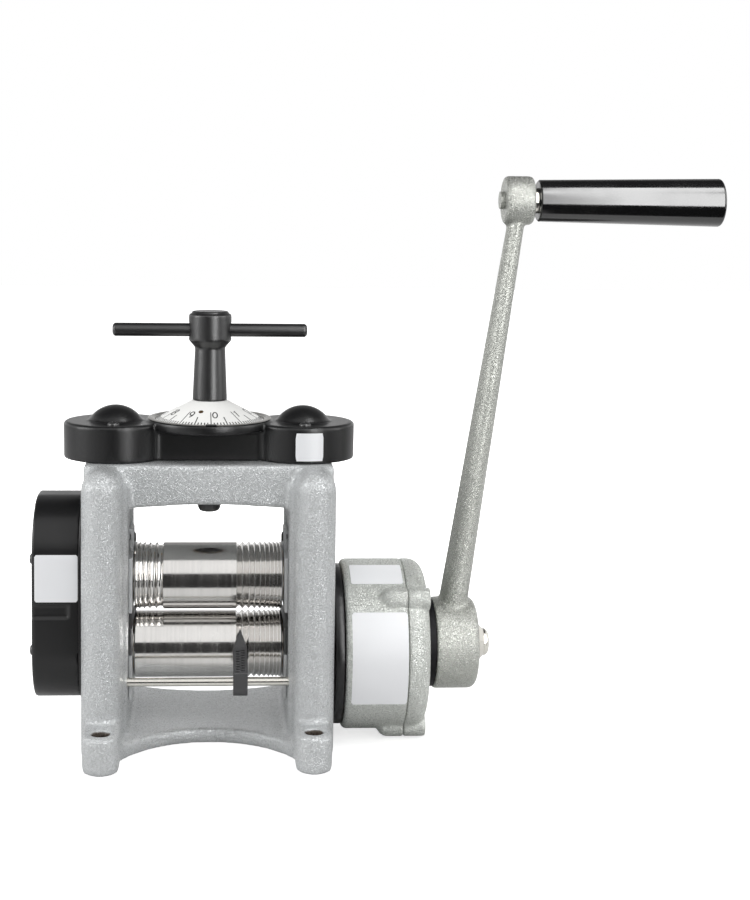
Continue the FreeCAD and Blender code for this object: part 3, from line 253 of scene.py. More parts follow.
class Finish(Tree):
    """A new material, with its Principled shader and a way to place the shared effects."""

    def __init__(self, name):
        self.material = bpy.data.materials.new(name)
        self.material.use_nodes = True
        super().__init__(self.material.node_tree)
        self.shader = self.tree.nodes["Principled BSDF"]

    def place(self, effect_name, **values):
        """The outputs of a shared effect, with this material's own values for its inputs."""
        return self.add("ShaderNodeGroup", values, node_tree=EFFECTS[effect_name]).outputs

    def bump(self, height, strength, distance):
        """Lets a height tip the surface's normal."""
        node = self.add("ShaderNodeBump", {"Strength": strength, "Distance": distance, "Height": height})
        self.feed(self.shader.inputs["Normal"], node.outputs["Normal"])

    def settle(self, **values):
        """Gives the shader its values, and returns the material. A name has _ for each space in it."""
        for label, value in values.items():
            self.feed(self.shader.inputs[label.replace("_", " ")], value)
        return self.material


def toned(colour, factor):
    """A colour made lighter or darker."""
    return tuple(min(1.0, factor * part) for part in colour)


def bolt_hole_mask(finish):
    """1 on the walls of the bolt holes in the feet."""
    folded = finish.vector("ABSOLUTE", object_point(finish))
    aside = finish.vector("SUBTRACT", folded, tuple(place * MM for place in FOOT_HOLE))
    reach = finish.vector("LENGTH", finish.vector("MULTIPLY", aside, (1.0, 1.0, 0.0)))
    return finish.span(reach, (FOOT_HOLE_RADIUS + 0.1) * MM, (FOOT_HOLE_RADIUS + 0.6) * MM, 1.0, 0.0)


def hammered_paint(name, light, dark, ridge, depth, metallic, roughness, bare_and_shaded_holes=None):
    """Metallic hammer-finish paint on cast iron, with painted shade in its valleys and a painted highlight on its
    edges. The colour given for the bolt holes is unpainted iron, made very dark to paint the shade inside them.
    """
    finish = Finish(name)
    hammer = finish.place("hammer", Ridge=ridge, Swell=0.6)
    grain = finish.place("grain", Size=0.0005)
    edge = finish.place("edges", Reach=0.05)
    # The hammer's valleys are painted darker, as painted shade.
    colour = finish.tint(light, hammer["Valley"], 0.5, dark)
    colour = finish.tint(colour, grain["Patch"], 0.1, dark)
    # The edges are painted lighter, as a painted highlight.
    colour = finish.tint(colour, edge["Edge"], 0.2, toned(light, 1.15))
    # The bolt holes get a very dark iron colour, which also paints the shade inside them.
    if bare_and_shaded_holes:
        colour = finish.blend(bolt_hole_mask(finish), colour, bare_and_shaded_holes)
    finish.bump(hammer["Height"], strength=1.0, distance=depth)
    return finish.settle(Base_Color=colour, Metallic=metallic,
                         Roughness=finish.level(hammer["Valley"], roughness, roughness + 0.15))


def chock_paint(name, split):
    """Grey paint on the chocks, and a dark metal colour above the height split, in millimetres, that also paints
    the shade under the upper chock.

    A height above the chock leaves it grey all over.
    """
    grey, shaded_dark_metal, fade = (0.55, 0.56, 0.565), (0.10, 0.10, 0.102), 0.4
    finish = Finish(name)
    hammer = finish.place("hammer", Ridge=0.001, Swell=0.6)
    grain = finish.place("grain", Size=0.0005)
    height = finish.add("ShaderNodeSeparateXYZ", {"Vector": object_point(finish)}).outputs["Z"]
    # Above the split the colour is a dark metal, which also paints the shade under the upper chock.
    shaded_top_mask = finish.span(height, split * MM, (split + fade) * MM)
    # The hammer's valleys are painted darker, as painted shade.
    paint = finish.tint(grey, hammer["Valley"], 0.4, toned(grey, 0.7))
    shaded_metal = finish.tint(shaded_dark_metal, grain["Patch"], 0.3, toned(shaded_dark_metal, 0.7))
    finish.bump(hammer["Height"], strength=0.6, distance=0.00015)
    return finish.settle(Base_Color=finish.blend(shaded_top_mask, paint, shaded_metal),
                         Roughness=finish.level(shaded_top_mask, 0.4, 0.34), Metallic=finish.level(shaded_top_mask, 0.3, 0.8))


def coated_black(name, colour, roughness, grain_size, strength, shine=0.42):
    """Satin black powder coat or blacking, a little lighter on the edges, as a painted highlight."""
    finish = Finish(name)
    grain = finish.place("grain", Size=grain_size)
    edge = finish.place("edges", Reach=0.08)
    shade = finish.tint(colour, grain["Patch"], 0.2, toned(colour, 1.3))
    # The edges are painted lighter, as a painted highlight.
    shade = finish.tint(shade, edge["Edge"], 0.3, toned(colour, 4.0))
    finish.bump(grain["Height"], strength, distance=0.00015)
    return finish.settle(Base_Color=shade, Specular_IOR_Level=shine,
                         Roughness=finish.level(grain["Patch"], roughness - 0.01, roughness + 0.02))


def worked_steel(name, colour, roughness, pitch, strength):
    """Steel with turned or ground marks round its axis."""
    finish = Finish(name)
    marks = finish.place("turning", Pitch=pitch)
    grain = finish.place("grain", Size=0.0006)
    shade = finish.tint(colour, marks["Streak"], 0.3, toned(colour, 0.72))
    shade = finish.tint(shade, grain["Patch"], 0.12, toned(colour, 0.6))
    finish.bump(marks["Height"], strength, distance=0.00008)
    return finish.settle(Base_Color=shade, Metallic=1.0,
                         Roughness=finish.level(marks["Streak"], roughness, roughness + 0.1))


def plain_surface(name, colour, roughness, patch=0.2, grain_size=0.0005, strength=0.1, metallic=0.0,
                  shine=0.5):
    """An even surface with faint grain and slow colour change."""
    finish = Finish(name)
    grain = finish.place("grain", Size=grain_size)
    finish.bump(grain["Height"], strength, distance=0.0001)
    return finish.settle(Base_Color=finish.tint(colour, grain["Patch"], patch, toned(colour, 0.8)),
                         Roughness=finish.level(grain["Patch"], roughness, min(1.0, roughness + 0.08)),
                         Metallic=metallic, Specular_IOR_Level=shine)


# The finish of each of the record's material slots.
FINISHES = {
    # The frame's bolt holes are a very dark iron, which also paints the shade inside them.
    "frame_hammertone": hammered_paint(
        "frame_paint", light=(0.565, 0.58, 0.585), dark=(0.41, 0.422, 0.428), ridge=0.0008, depth=0.00022,
        metallic=0.4, roughness=0.27, bare_and_shaded_holes=(0.07, 0.055, 0.042)),
    "case_hammertone": hammered_paint(
        "case_paint", light=(0.67, 0.69, 0.655), dark=(0.45, 0.463, 0.44), ridge=0.0008, depth=0.0003,
        metallic=0.5, roughness=0.26),
    "black_coat": coated_black(
        "black_coat", (0.008, 0.008, 0.0085), roughness=0.3, grain_size=0.0004, strength=0.2),
    "black_steel": coated_black(
        "black_steel", (0.009, 0.009, 0.0095), roughness=0.3, grain_size=0.0003, strength=0.3, shine=0.8),
    "roll_steel": worked_steel(
        "roll_steel", (0.78, 0.765, 0.745), roughness=0.1, pitch=0.00025, strength=0.1),
    "gear_steel": worked_steel(
        "gear_steel", (0.55, 0.54, 0.52), roughness=0.3, pitch=0.0005, strength=0.3),
    "bright_steel": worked_steel(
        "bright_steel", (0.80, 0.78, 0.72), roughness=0.12, pitch=0.0004, strength=0.06),
    "chock_iron": chock_paint("upper_chock_paint", split=200.0),
    "bronze": worked_steel(
        "bronze", (0.62, 0.42, 0.20), roughness=0.28, pitch=0.0004, strength=0.2),
    "dial_white": plain_surface(
        "dial_enamel", (0.86, 0.86, 0.84), roughness=0.3, patch=0.06, grain_size=0.0008, strength=0.05),
    "guide_plastic": plain_surface(
        "guide_plastic", (0.05, 0.05, 0.052), roughness=0.5, patch=0.3, strength=0.4),
    "grip_plastic": plain_surface(
        "grip_plastic", (0.004, 0.004, 0.0045), roughness=0.09, grain_size=0.002, strength=0.02, shine=1.0),
    "seal_rubber": coated_black(
        "seal_rubber", (0.004, 0.004, 0.005), roughness=0.5, grain_size=0.0005, strength=0.3, shine=0.15),
}
# The case's paint, made darker on the crank arm and grip pin as painted shade, and more metallic.
SHADED_CASE_PAINT = hammered_paint(
    "crank_shaded_case_paint", light=(0.50, 0.51, 0.475), dark=(0.28, 0.287, 0.265), ridge=0.0007, depth=0.0002,
    metallic=0.8, roughness=0.24)
# The lower chocks are dark above the crank's height, which paints the shade under the upper chocks.
LOWER_CHOCK_PAINT = chock_paint("lower_chock_paint", split=CRANK_HEIGHT + 0.5)
DIAL_INK = plain_surface("dial_ink", (0.02, 0.02, 0.022), roughness=0.4, patch=0.1)
BLANK_FILM = plain_surface(
    "blank_film", (0.93, 0.94, 0.96), roughness=0.28, patch=0.05, grain_size=0.001, strength=0.03)
RIM_METAL = plain_surface("rim_metal", (0.42, 0.41, 0.39), roughness=0.3, patch=0.1, metallic=0.8)
SPRING_WIRE = plain_surface(
    "spring_wire", (0.16, 0.16, 0.17), roughness=0.35, patch=0.3, grain_size=0.0006, strength=0.2,
    metallic=0.9)
BROWN_SOCKET = plain_surface(
    "brown_socket", (0.10, 0.055, 0.02), roughness=0.45, patch=0.3, strength=0.2, metallic=0.5)

# CAD nodes that don't wear the finish of their slot.
OWN_FINISHES = {"crank_arm": SHADED_CASE_PAINT, "grip_pin": SHADED_CASE_PAINT, "lower_chock_left": LOWER_CHOCK_PAINT,
                "lower_chock_right": LOWER_CHOCK_PAINT}

# Cast nodes: the size of their new skin's cells in millimetres, and how often it is smoothed.
CAST_SKINS = {"frame_casting": (1.8, 7), "crank_arm": (1.1, 6), "gearbox_body": (1.2, 5),
              "gearbox_cover": (1.2, 5), "gear_cover": (1.2, 1), "gear_cap": (1.0, 3),
              "t_handle_hub": (0.7, 6), "t_bar": (0.5, 6)}

# Machined nodes: how much comes off their sharp edges, in millimetres.
EASED_EDGES = {"adapter_plate": 0.8, "gear_cover_plate": 0.6, "dial": 0.2, "crank_washer": 0.4,
               "upper_chock_left": 0.5, "upper_chock_right": 0.5, "lower_chock_left": 0.5,
               "lower_chock_right": 0.5, "wire_guide": 0.4}


def finish_nodes():
    """Gives each carried-over CAD node its finish."""
    slots = {row["node"]: row["material_slot"] for row in frame["record"]["subparts"]}
    for name, piece in frame["nodes"].items():
        finish = OWN_FINISHES.get(name, FINISHES[slots[name]])
        if not piece.data.materials:
            piece.data.materials.append(finish)
        for slot in piece.material_slots:
            slot.material = finish


def soften(name, cell, rounds):
    """Rounds a casting's corners inside and out, as sand casting and thick paint leave them."""
    piece = frame["nodes"][name]
    remesh = piece.modifiers.new("skin", "REMESH")
    remesh.mode, remesh.voxel_size, remesh.use_smooth_shade = "VOXEL", cell * MM, True
    smooth = piece.modifiers.new("round", "SMOOTH")
    smooth.factor, smooth.iterations = 0.5, rounds


def bevel_edges(piece, width, angle):
    """Adds a narrow bevel, in millimetres, to the edges that are sharper than an angle in degrees."""
    bevel = piece.modifiers.new("ease", "BEVEL")
    bevel.width, bevel.segments = width * MM, 2
    bevel.limit_method, bevel.angle_limit = "ANGLE", math.radians(angle)
    bevel.harden_normals = True


def ease_edges(name, width):
    """Takes the sharp corner off a machined node."""
    piece = frame["nodes"][name]
    weld = piece.modifiers.new("weld", "WELD")
    weld.merge_threshold = 0.01 * MM
    bevel_edges(piece, width, angle=35)


finish_nodes()
for node, (cell, rounds) in CAST_SKINS.items():
    soften(node, cell, rounds)
for node, width in EASED_EDGES.items():
    ease_edges(node, width)


# ---------------------------------------------------------------- making pieces, in millimetres

# For each axis that a form is turned about: the way along it, and two ways square to it.
AXES = {"X": (Vector((1, 0, 0)), Vector((0, 1, 0)), Vector((0, 0, 1))),
        "Z": (Vector((0, 0, 1)), Vector((1, 0, 0)), Vector((0, 1, 0)))}
ORIGIN = (0, 0, 0)
HEXAGON = 6


def circle(centre, side, up, radius, steps):
    """Points round a centre, in the plane of two directions."""
    angles = [2 * math.pi * n / steps for n in range(steps)]
    return [centre + (side * math.cos(angle) + up * math.sin(angle)) * radius for angle in angles]


class Form:
    """A mesh that is put together from closed forms, in millimetres."""

    def __init__(self):
        self.mesh = bmesh.new()

    def skin(self, rings):
        """Joins rings of points one after another and closes both ends. A ring may be a single point."""
        rows = [[self.mesh.verts.new(point) for point in ring] for ring in rings]
        for low, high in zip(rows, rows[1:]):
            for n in range(max(len(low), len(high))):
                corners = [low[n % len(low)], low[(n + 1) % len(low)],
                           high[(n + 1) % len(high)], high[n % len(high)]]
                corners = list(dict.fromkeys(corners))
                if len(corners) > 2:
                    self.mesh.faces.new(corners)
        for row in (rows[0], rows[-1]):
            if len(row) > 2:
                self.mesh.faces.new(row)

    def loop(self, rings):
        """Joins rings of the same number of points one after another, and the last one to the first."""
        rows = [[self.mesh.verts.new(point) for point in ring] for ring in rings]
        for here, there in zip(rows, rows[1:] + rows[:1]):
            count = len(here)
            for k in range(count):
                after = (k + 1) % count
                self.mesh.faces.new([here[k], there[k], there[after], here[after]])

    def turned(self, profile, at=ORIGIN, axis="Z", steps=48):
        """A form turned about an axis, from (place along it, radius) pairs.

        A third value, HEXAGON, gives that ring six flats at the radius.
        """
        along, side, up = AXES[axis]
        rings = []
        for place, radius, *flats in profile:
            if radius == 0:
                rings.append([Vector(at) + along * place])
                continue
            ring = []
            for n in range(steps):
                angle = 2 * math.pi * n / steps
                reach = radius
                if flats:
                    sector = 2 * math.pi / flats[0]
                    reach = radius / math.cos(angle % sector - sector / 2)
                out = side * math.cos(angle) + up * math.sin(angle)
                ring.append(Vector(at) + along * place + out * reach)
            rings.append(ring)
        self.skin(rings)

    def hoop(self, profile, steps=96):
        """A ring about the Z axis, from a closed path of (height, radius) pairs."""
        rings = []
        for n in range(steps):
            angle = 2 * math.pi * n / steps
            out = Vector((math.cos(angle), math.sin(angle), 0))
            rings.append([out * radius + Vector((0, 0, height)) for height, radius in profile])
        self.loop(rings)

    def bar(self, corners_low, corners_high):
        """A block between two faces that have the same number of corners."""
        self.skin([corners_low, corners_high])

    def sheet(self, columns, rows, place, thickness):
        """A thin sheet over a grid of (u, v). place(u, v, lift) is a point over what carries it."""
        def layer(lift):
            return [[self.mesh.verts.new(place(c / columns, r / rows, lift)) for c in range(columns + 1)]
                    for r in range(rows + 1)]
        under, over = layer(0), layer(thickness)
        for r in range(rows):
            for c in range(columns):
                for grid in (under, over):
                    self.mesh.faces.new([grid[r][c], grid[r][c + 1], grid[r + 1][c + 1], grid[r + 1][c]])
        rim = [(0, c) for c in range(columns)] + [(r, columns) for r in range(rows)]
        rim += [(rows, c) for c in range(columns, 0, -1)] + [(r, 0) for r in range(rows, 0, -1)]
        for (r, c), (s, d) in zip(rim, rim[1:] + rim[:1]):
            self.mesh.faces.new([under[r][c], under[s][d], over[s][d], over[r][c]])

    def wire(self, path, radius, sides=8):
        """A round wire along a path of points."""
        rings = []
        for n, point in enumerate(path):
            ahead = (path[min(n + 1, len(path) - 1)] - path[max(n - 1, 0)]).normalized()
            out = ahead.cross(Vector((0, 0, 1))).normalized()
            rings.append(circle(point, out, out.cross(ahead), radius, sides))
        self.skin(rings)

    def done(self, name, finish, body=None, smooth=40, ease=0.0):
        """Turns the form into an object of the scene that rides on a body.

        Edges up to the angle smooth, in degrees, look round. Sharper ones get a bevel of ease millimetres.
        """
        bmesh.ops.recalc_face_normals(self.mesh, faces=self.mesh.faces)
        bmesh.ops.scale(self.mesh, vec=(MM, MM, MM), verts=self.mesh.verts)
        mesh = bpy.data.meshes.new(name)
        self.mesh.to_mesh(mesh)
        self.mesh.free()
        for face in mesh.polygons:
            face.use_smooth = True
        mesh.materials.append(finish)
        piece = bpy.data.objects.new(name, mesh)
        bpy.context.scene.collection.objects.link(piece)
        if ease:
            bevel_edges(piece, ease, smooth)
        mesh.set_sharp_from_angle(angle=math.radians(smooth))
        if body:
            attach(piece, body)
        return piece

    def stand_in(self, name, node, slot, body):
        """Turns the form into a piece that is seen in place of a CAD node, in the finish of its slot."""
        piece = self.done(name, FINISHES[slot], body)
        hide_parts(node)


# ---------------------------------------------------------------- screws

def button_head(radius, height, socket):
    """The top of a domed screw head with a six-sided socket."""
    dome = [(0, radius), (0.25 * height, radius), (0.65 * height, 0.88 * radius),
            (0.92 * height, 0.7 * radius), (height, 0.55 * radius)]
    return dome + [(height, socket * 1.12), (height - 0.15, socket, HEXAGON),
                   (0.35 * height, socket, HEXAGON), (0.25 * height, 0)]


def cap_head(radius, height, socket):
    """The top of a straight-sided screw head with a six-sided socket."""
    return [(0, radius), (height - 0.4, radius), (height, radius - 0.4), (height, socket * 1.15),
            (height - 0.2, socket, HEXAGON), (0.45 * height, socket, HEXAGON), (0.4 * height, 0)]


def screw(form, at, axis, way, shank, reach, head):
    """A screw whose head stands on a point and looks along the axis, or against it where way is -1.

    shank is the radius of the part below the head, and reach its length.
    """
    profile = [(-reach, 0), (-reach, shank), (0, shank)] + head
    form.turned([(way * entry[0], *entry[1:]) for entry in profile], at, axis, steps=36)


def cap_screws():
    """Screws in front of and behind each spindle."""
    form = Form()
    aside = 27.5
    for x in (-SPINDLE_X, SPINDLE_X):
        for y in (-aside, aside):
            screw(form, (x, y, CAP_TOP), "Z", 1, shank=2.4, reach=3.9,
                  head=button_head(radius=4.4, height=2.3, socket=1.6))
    form.stand_in("cap_button_screws", "cap_screws", "black_steel", "frame")


def cover_screws():
    """Screws in the corners of the gear cover."""
    form = Form()
    outer_face, aside = face_of("gear_cover", LOW, "X"), 36
    for y in (-aside, aside):
        for z in (COVER_LOW_CORNER, COVER_HIGH_CORNER):
            screw(form, (outer_face, y, z), "X", -1, shank=1.95, reach=36.6,
                  head=button_head(radius=4, height=2.2, socket=1.4))
    form.stand_in("cover_button_screws", "cover_screws", "black_steel", "frame")


def case_screws():
    """Screws in the gearbox's ears, two on each side, at angles in degrees above and below the crank."""
    form = Form()
    seat, radius = 157.4, 62.2
    for side in (-1, 1):
        for angle in (46, -64):
            turn = math.radians(angle)
            at = (seat, side * radius * math.cos(turn), CRANK_HEIGHT + radius * math.sin(turn))
            screw(form, at, "X", 1, shank=2.95, reach=23.4,
                  head=cap_head(radius=4.9, height=4.7, socket=2.5))
    form.stand_in("case_socket_screws", "gearbox_screws", "black_steel", "frame")


def chock_screws():
    """One screw in the inner face of each upper chock."""
    form = Form()
    inner_face, height = face_of("upper_chock_right", LOW, "X"), 147
    for side in (-1, 1):
        screw(form, (side * inner_face, 0, height), "X", -side, shank=1.95, reach=3.2,
              head=button_head(radius=3.8, height=1.4, socket=1.3))
    form.stand_in("chock_button_screws", "chock_screws", "black_steel", "carriage")


def shaft_end():
    """The flanged nut under the bridge, with the shaft in it. The nut hangs down, with its socket below."""
    top = face_of("shaft_nut", HIGH, "Z")
    flange = [(top, 0), (top, 10.3), (178.4, 10.6), (176.6, 10.6), (176.1, 10.2)]
    cone = [(172.0, 8.9), (169.2, 8.2), (167.6, 7.2), (167.0, 5.8), (167.0, 4.2)]
    socket = [(167.4, 3.9, HEXAGON), (170.5, 3.9, HEXAGON), (171, 0)]
    form = Form()
    form.turned(flange + cone + socket)
    form.stand_in("shaft_nut_flanged", "shaft_nut", "black_steel", "t_handle")
    bottom, top, radius = 172.5, face_of("centre_shaft", HIGH, "Z"), 8
    form = Form()
    form.turned([(bottom, 0), (bottom, radius), (top, radius), (top, 0)])
    form.stand_in("centre_shaft_turned", "centre_shaft", "bright_steel", "t_handle")


# ---------------------------------------------------------------- springs and guide

def lift_springs():
    """Four coil springs between the chocks. The turns at both ends lie almost closed."""
    form = Form()
    low, high = face_of("lower_chock_right", HIGH, "Z"), face_of("upper_chock_right", LOW, "Z")
    turns, points_in_turn, coil, wire, gap = 5, 20, 3.85, 0.75, 0.1
    closed_part, closed_rise = 0.12, 0.08
    steps = turns * points_in_turn
    half_width, half_depth = 65, 23
    for x in (-half_width, half_width):
        for y in (-half_depth, half_depth):
            path = []
            for n in range(steps + 1):
                part = n / steps
                climb = min(max((part - closed_part) / (1 - 2 * closed_part), 0), 1)
                rise = closed_rise * part + (1 - closed_rise) * climb
                height = low + wire + gap + (high - low - 2 * (wire + gap)) * rise
                angle = 2 * math.pi * turns * part
                path.append(Vector((x + coil * math.cos(angle), y + coil * math.sin(angle), height)))
            form.wire(path, wire)
    piece = form.done("lift_spring_coils", SPRING_WIRE)
    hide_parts("lift_springs")
    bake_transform(piece)


def guide_ribs():
    """A ladder of fine ribs on the sloping face of the wire guide, in two columns with a small step."""
    form = Form()
    middle = (face_of("wire_guide", LOW, "X") + face_of("wire_guide", HIGH, "X")) / 2
    low, high = Vector((middle, face_of("wire_guide", LOW, "Y"), 57.0)), Vector((middle, -32.24, 71.0))
    along = (high - low).normalized()
    out = Vector((0, -along.z, along.y))
    across = Vector((1, 0, 0))
    first, pitch, step, aside = 2.4, 2.3, 0.5, 1.9
    wide, long, sunk, proud = 1.3, 0.45, -0.1, 0.9

    def rib(centre):
        corners = [centre + across * u + along * v
                   for u, v in ((-wide, -long), (wide, -long), (wide, long), (-wide, long))]
        form.bar([corner + out * sunk for corner in corners], [corner + out * proud for corner in corners])
    for n in range(9):
        for side in (-1, 1):
            rib(low + along * (first + pitch * n + step * side) + across * side * aside)
    form.done("guide_ribs", FINISHES["guide_plastic"], "wire_guide", smooth=30)


# ---------------------------------------------------------------- dial

def on_dial(angle, reach, aside, lift):
    """A point of the dial's cone.

    angle is in degrees from the zero line, reach a radius, and aside a distance to the right of that line.
    """
    turn = math.radians(angle + DIAL_ZERO)
    out = Vector((math.sin(turn), -math.cos(turn), 0))
    across = Vector((math.cos(turn), math.sin(turn), 0))
    spot = out * reach + across * aside
    climb, run = DIAL_TOP_HEIGHT - DIAL_FOOT_HEIGHT, DIAL_FOOT_RADIUS - DIAL_TOP_RADIUS
    height = DIAL_FOOT_HEIGHT + (DIAL_FOOT_RADIUS - spot.length) * climb / run
    facing = spot.normalized() * DIAL_FACES_OUT + Vector((0, 0, DIAL_FACES_UP))
    return Vector((spot.x, spot.y, height)) + facing * lift


def stroke(form, angle, points, width, closed=False):
    """A raised line on the dial through (aside, reach) points."""
    sunk, proud = -0.03, 0.09
    count = len(points)
    flat = [Vector(point) for point in points]
    rings = []
    for n, point in enumerate(flat):
        before = flat[(n - 1) % count] if closed or n else point
        after = flat[(n + 1) % count] if closed or n < count - 1 else point
        way = (after - before).normalized()
        side = Vector((-way.y, way.x)) * (width / 2)
        left, right = point + side, point - side
        rings.append([on_dial(angle, spot.y, spot.x, lift) for spot, lift in (
            (left, sunk), (right, sunk), (right, proud), (left, proud))])
    if closed:
        form.loop(rings)
    else:
        form.skin(rings)


def arc(x, y, width, height, start, end, steps):
    """Points of part of an ellipse, with angles in degrees from the right and turning left."""
    angles = [math.radians(start + (end - start) * n / steps) for n in range(steps + 1)]
    return [(x + width * math.cos(angle), y + height * math.sin(angle)) for angle in angles]


# Each digit's strokes as (points, closed), where a digit is one unit high and its middle is at (0, 0).
DIGITS = {
    0: [(arc(0, 0, 0.42, 0.5, 0, 342, 19), True)],
    1: [([(-0.22, 0.28), (0.08, 0.5), (0.08, -0.5)], False)],
    2: [(arc(0, 0.18, 0.38, 0.32, 165, -20, 12) + [(-0.4, -0.48), (0.42, -0.48)], False)],
    3: [(arc(-0.02, 0.25, 0.36, 0.25, 150, -80, 11) + arc(-0.02, -0.23, 0.42, 0.27, 80, -150, 12), False)],
    4: [([(0.2, -0.5), (0.2, 0.5), (-0.42, -0.2), (0.44, -0.2)], False)],
    5: [([(0.36, 0.5), (-0.3, 0.5), (-0.36, 0.04)] + arc(-0.02, -0.16, 0.4, 0.34, 110, -150, 13), False)],
    6: [(arc(0, -0.18, 0.38, 0.32, 0, 340, 17), True), (arc(0.1, -0.1, 0.48, 0.6, 100, 170, 8), False)],
    7: [([(-0.4, 0.5), (0.42, 0.5), (-0.1, -0.5)], False)],
    8: [(arc(0, 0.25, 0.34, 0.24, 0, 340, 17), True), (arc(0, -0.24, 0.42, 0.27, 0, 340, 17), True)],
    9: [(arc(0, 0.18, 0.38, 0.32, 0, 340, 17), True), (arc(-0.1, 0.1, 0.48, 0.6, -80, -10, 8), False)],
}


def dial_marks():
    """A hundred divisions, longer at each five and ten, with the tens numbered beside their lines."""
    form = Form()
    outer = 39.6
    for n in range(100):
        inner, width = (25.2, 0.55) if n % 10 == 0 else (30.6, 0.7) if n % 5 == 0 else (36.6, 0.75)
        stroke(form, 3.6 * n, [(0, outer), (0, inner)], width)
    aside, reach, wide, high = 3.1, 28.0, 4.0, 6.2
    for digit, strokes in DIGITS.items():
        for points, closed in strokes:
            placed = [(aside + wide * x, reach - high * y) for x, y in points]
            stroke(form, 36 * digit, placed, 0.8, closed)
    piece = form.done("dial_divisions", DIAL_INK, "t_handle")


def dial_rim():
    """The metal rim that the dial turns in."""
    form = Form()
    form.hoop([(236.1, 40.6), (236.1, 42.7), (237.62, 43.0), (237.62, 45.9), (237.8, 46.0), (238.0, 45.6),
               (238.15, 43.2), (237.6, 40.9), (237.1, 40.6)])
    form.done("dial_rim", RIM_METAL, "frame", smooth=50)


def index_bar():
    """The small bar on the rim that the dial is read against."""
    form = Form()
    left, right, front, rear = -2.9, 5.1, -46.3, -41.6
    form.bar(*[[Vector((x, y, z)) for x, y in ((left, front), (right, front), (right, rear), (left, rear))]
               for z in (237.5, 238.5)])
    form.done("index_bar", FINISHES["black_coat"], "frame", ease=0.25)


def dial_lock_socket():
    """The socket of the screw that locks the dial: a low collar with a hollow in it."""
    angle, reach = -16.6, 24.6
    centre = on_dial(angle, reach, 0, 0)
    out = (on_dial(angle, reach, 0, 1) - centre).normalized()
    side = out.cross(Vector((0, 0, 1))).normalized()
    up = out.cross(side)
    collar = [circle(centre + out * lift, side, up, radius, 24)
              for lift, radius in ((-0.03, 1.75), (0.12, 1.75), (0.12, 1.4))]
    form = Form()
    form.skin([[centre - out * 0.05], *collar, [centre + out * 0.02]])
    form.done("dial_lock_socket", BROWN_SOCKET, "t_handle")


# ---------------------------------------------------------------- blank labels

LABEL_THICKNESS = 0.14


def label(name, place, width, height, corner, columns, rows):
    """A blank label with round corners. place(across, up, lift) is a point over what carries it."""
    narrowest = 0.02

    def spot(u, v, lift):
        rise = (v - 0.5) * height
        edge = max(abs(rise) - (height / 2 - corner), 0)
        half = width / 2 - corner + math.sqrt(max(corner ** 2 - edge ** 2, narrowest))
        return place((2 * u - 1) * half, rise, lift)
    form = Form()
    form.sheet(columns, rows, spot, LABEL_THICKNESS)
    form.done(name, BLANK_FILM, "frame", smooth=50)


def on_lobe(across, up, lift):
    """A point on the front of the cap's right lobe, from a middle a little to the right of its axis."""
    aside, middle_height = 2.9, 221
    turn = (across + aside) / LOBE_RADIUS
    reach = LOBE_RADIUS + lift
    return Vector((SPINDLE_X + reach * math.sin(turn), -reach * math.cos(turn), middle_height + up))


def on_cover(across, up, lift):
    """A point on the front of the gear cover, which bends back towards its top."""
    middle_x, middle_height = -109.9, 126.6
    height = middle_height + up
    over = height - COVER_HIGH_CORNER
    reach = COVER_CORNER + lift
    if over <= 0:
        return Vector((middle_x + across, -COVER_HALF_FLAT - reach, height))
    turn = over / COVER_CORNER
    return Vector((middle_x + across, -COVER_HALF_FLAT - reach * math.cos(turn),
                   COVER_HIGH_CORNER + reach * math.sin(turn)))


def on_drum(middle_x, middle_angle):
    """A function that gives points on the gearbox's drum about a middle, whose angle is in degrees."""
    def place(across, up, lift):
        turn = math.radians(middle_angle) + up / DRUM_RADIUS
        reach = DRUM_RADIUS + lift
        return Vector((middle_x + across, -reach * math.cos(turn), CRANK_HEIGHT + reach * math.sin(turn)))
    return place


def labels():
    label("lobe_label", on_lobe, width=20.5, height=20.5, corner=0.8, columns=20, rows=6)
    label("cover_label", on_cover, width=31.0, height=34.6, corner=1.2, columns=8, rows=24)
    label("case_label_upper", on_drum(124.3, 68.5), width=38.5, height=24.5, corner=1.2, columns=8, rows=20)
    label("case_label_lower", on_drum(124.6, 3.4), width=40.8, height=71.0, corner=1.4, columns=8, rows=36)


# ---------------------------------------------------------------- stage, light and camera, in metres

def staged_sheet(name, corners, finish):
    """A flat sheet with four corners that isn't part of the mill."""
    mesh = bpy.data.meshes.new(name)
    mesh.from_pydata(corners, [], [(0, 1, 2, 3)])
    mesh.materials.append(finish)
    sheet = bpy.data.objects.new(name, mesh)
    bpy.context.scene.collection.objects.link(sheet)
    return sheet


def level_corners(low, high, height):
    """The corners of a level oblong between two (x, y) corners."""
    return [(low[0], low[1], height), (high[0], low[1], height), (high[0], high[1], height),
            (low[0], high[1], height)]


def stage_floor():
    """A pale floor that glows white to the camera, and less so close to the mill, to keep its shadow."""
    finish = Finish("floor_white")
    seen = finish.add("ShaderNodeLightPath").outputs["Is Camera Ray"]
    away = finish.vector("LENGTH", object_point(finish))
    glow = finish.span(away, 0.35, 0.9, to_low=0.7, to_high=1.0)
    made = finish.settle(Base_Color=(0.7, 0.7, 0.7), Roughness=0.9, Emission_Color=WHITE,
                         Emission_Strength=finish.math("MULTIPLY", seen, glow))
    staged_sheet("floor", level_corners((-6.0, -6.0), (6.0, 6.0), 0), made)


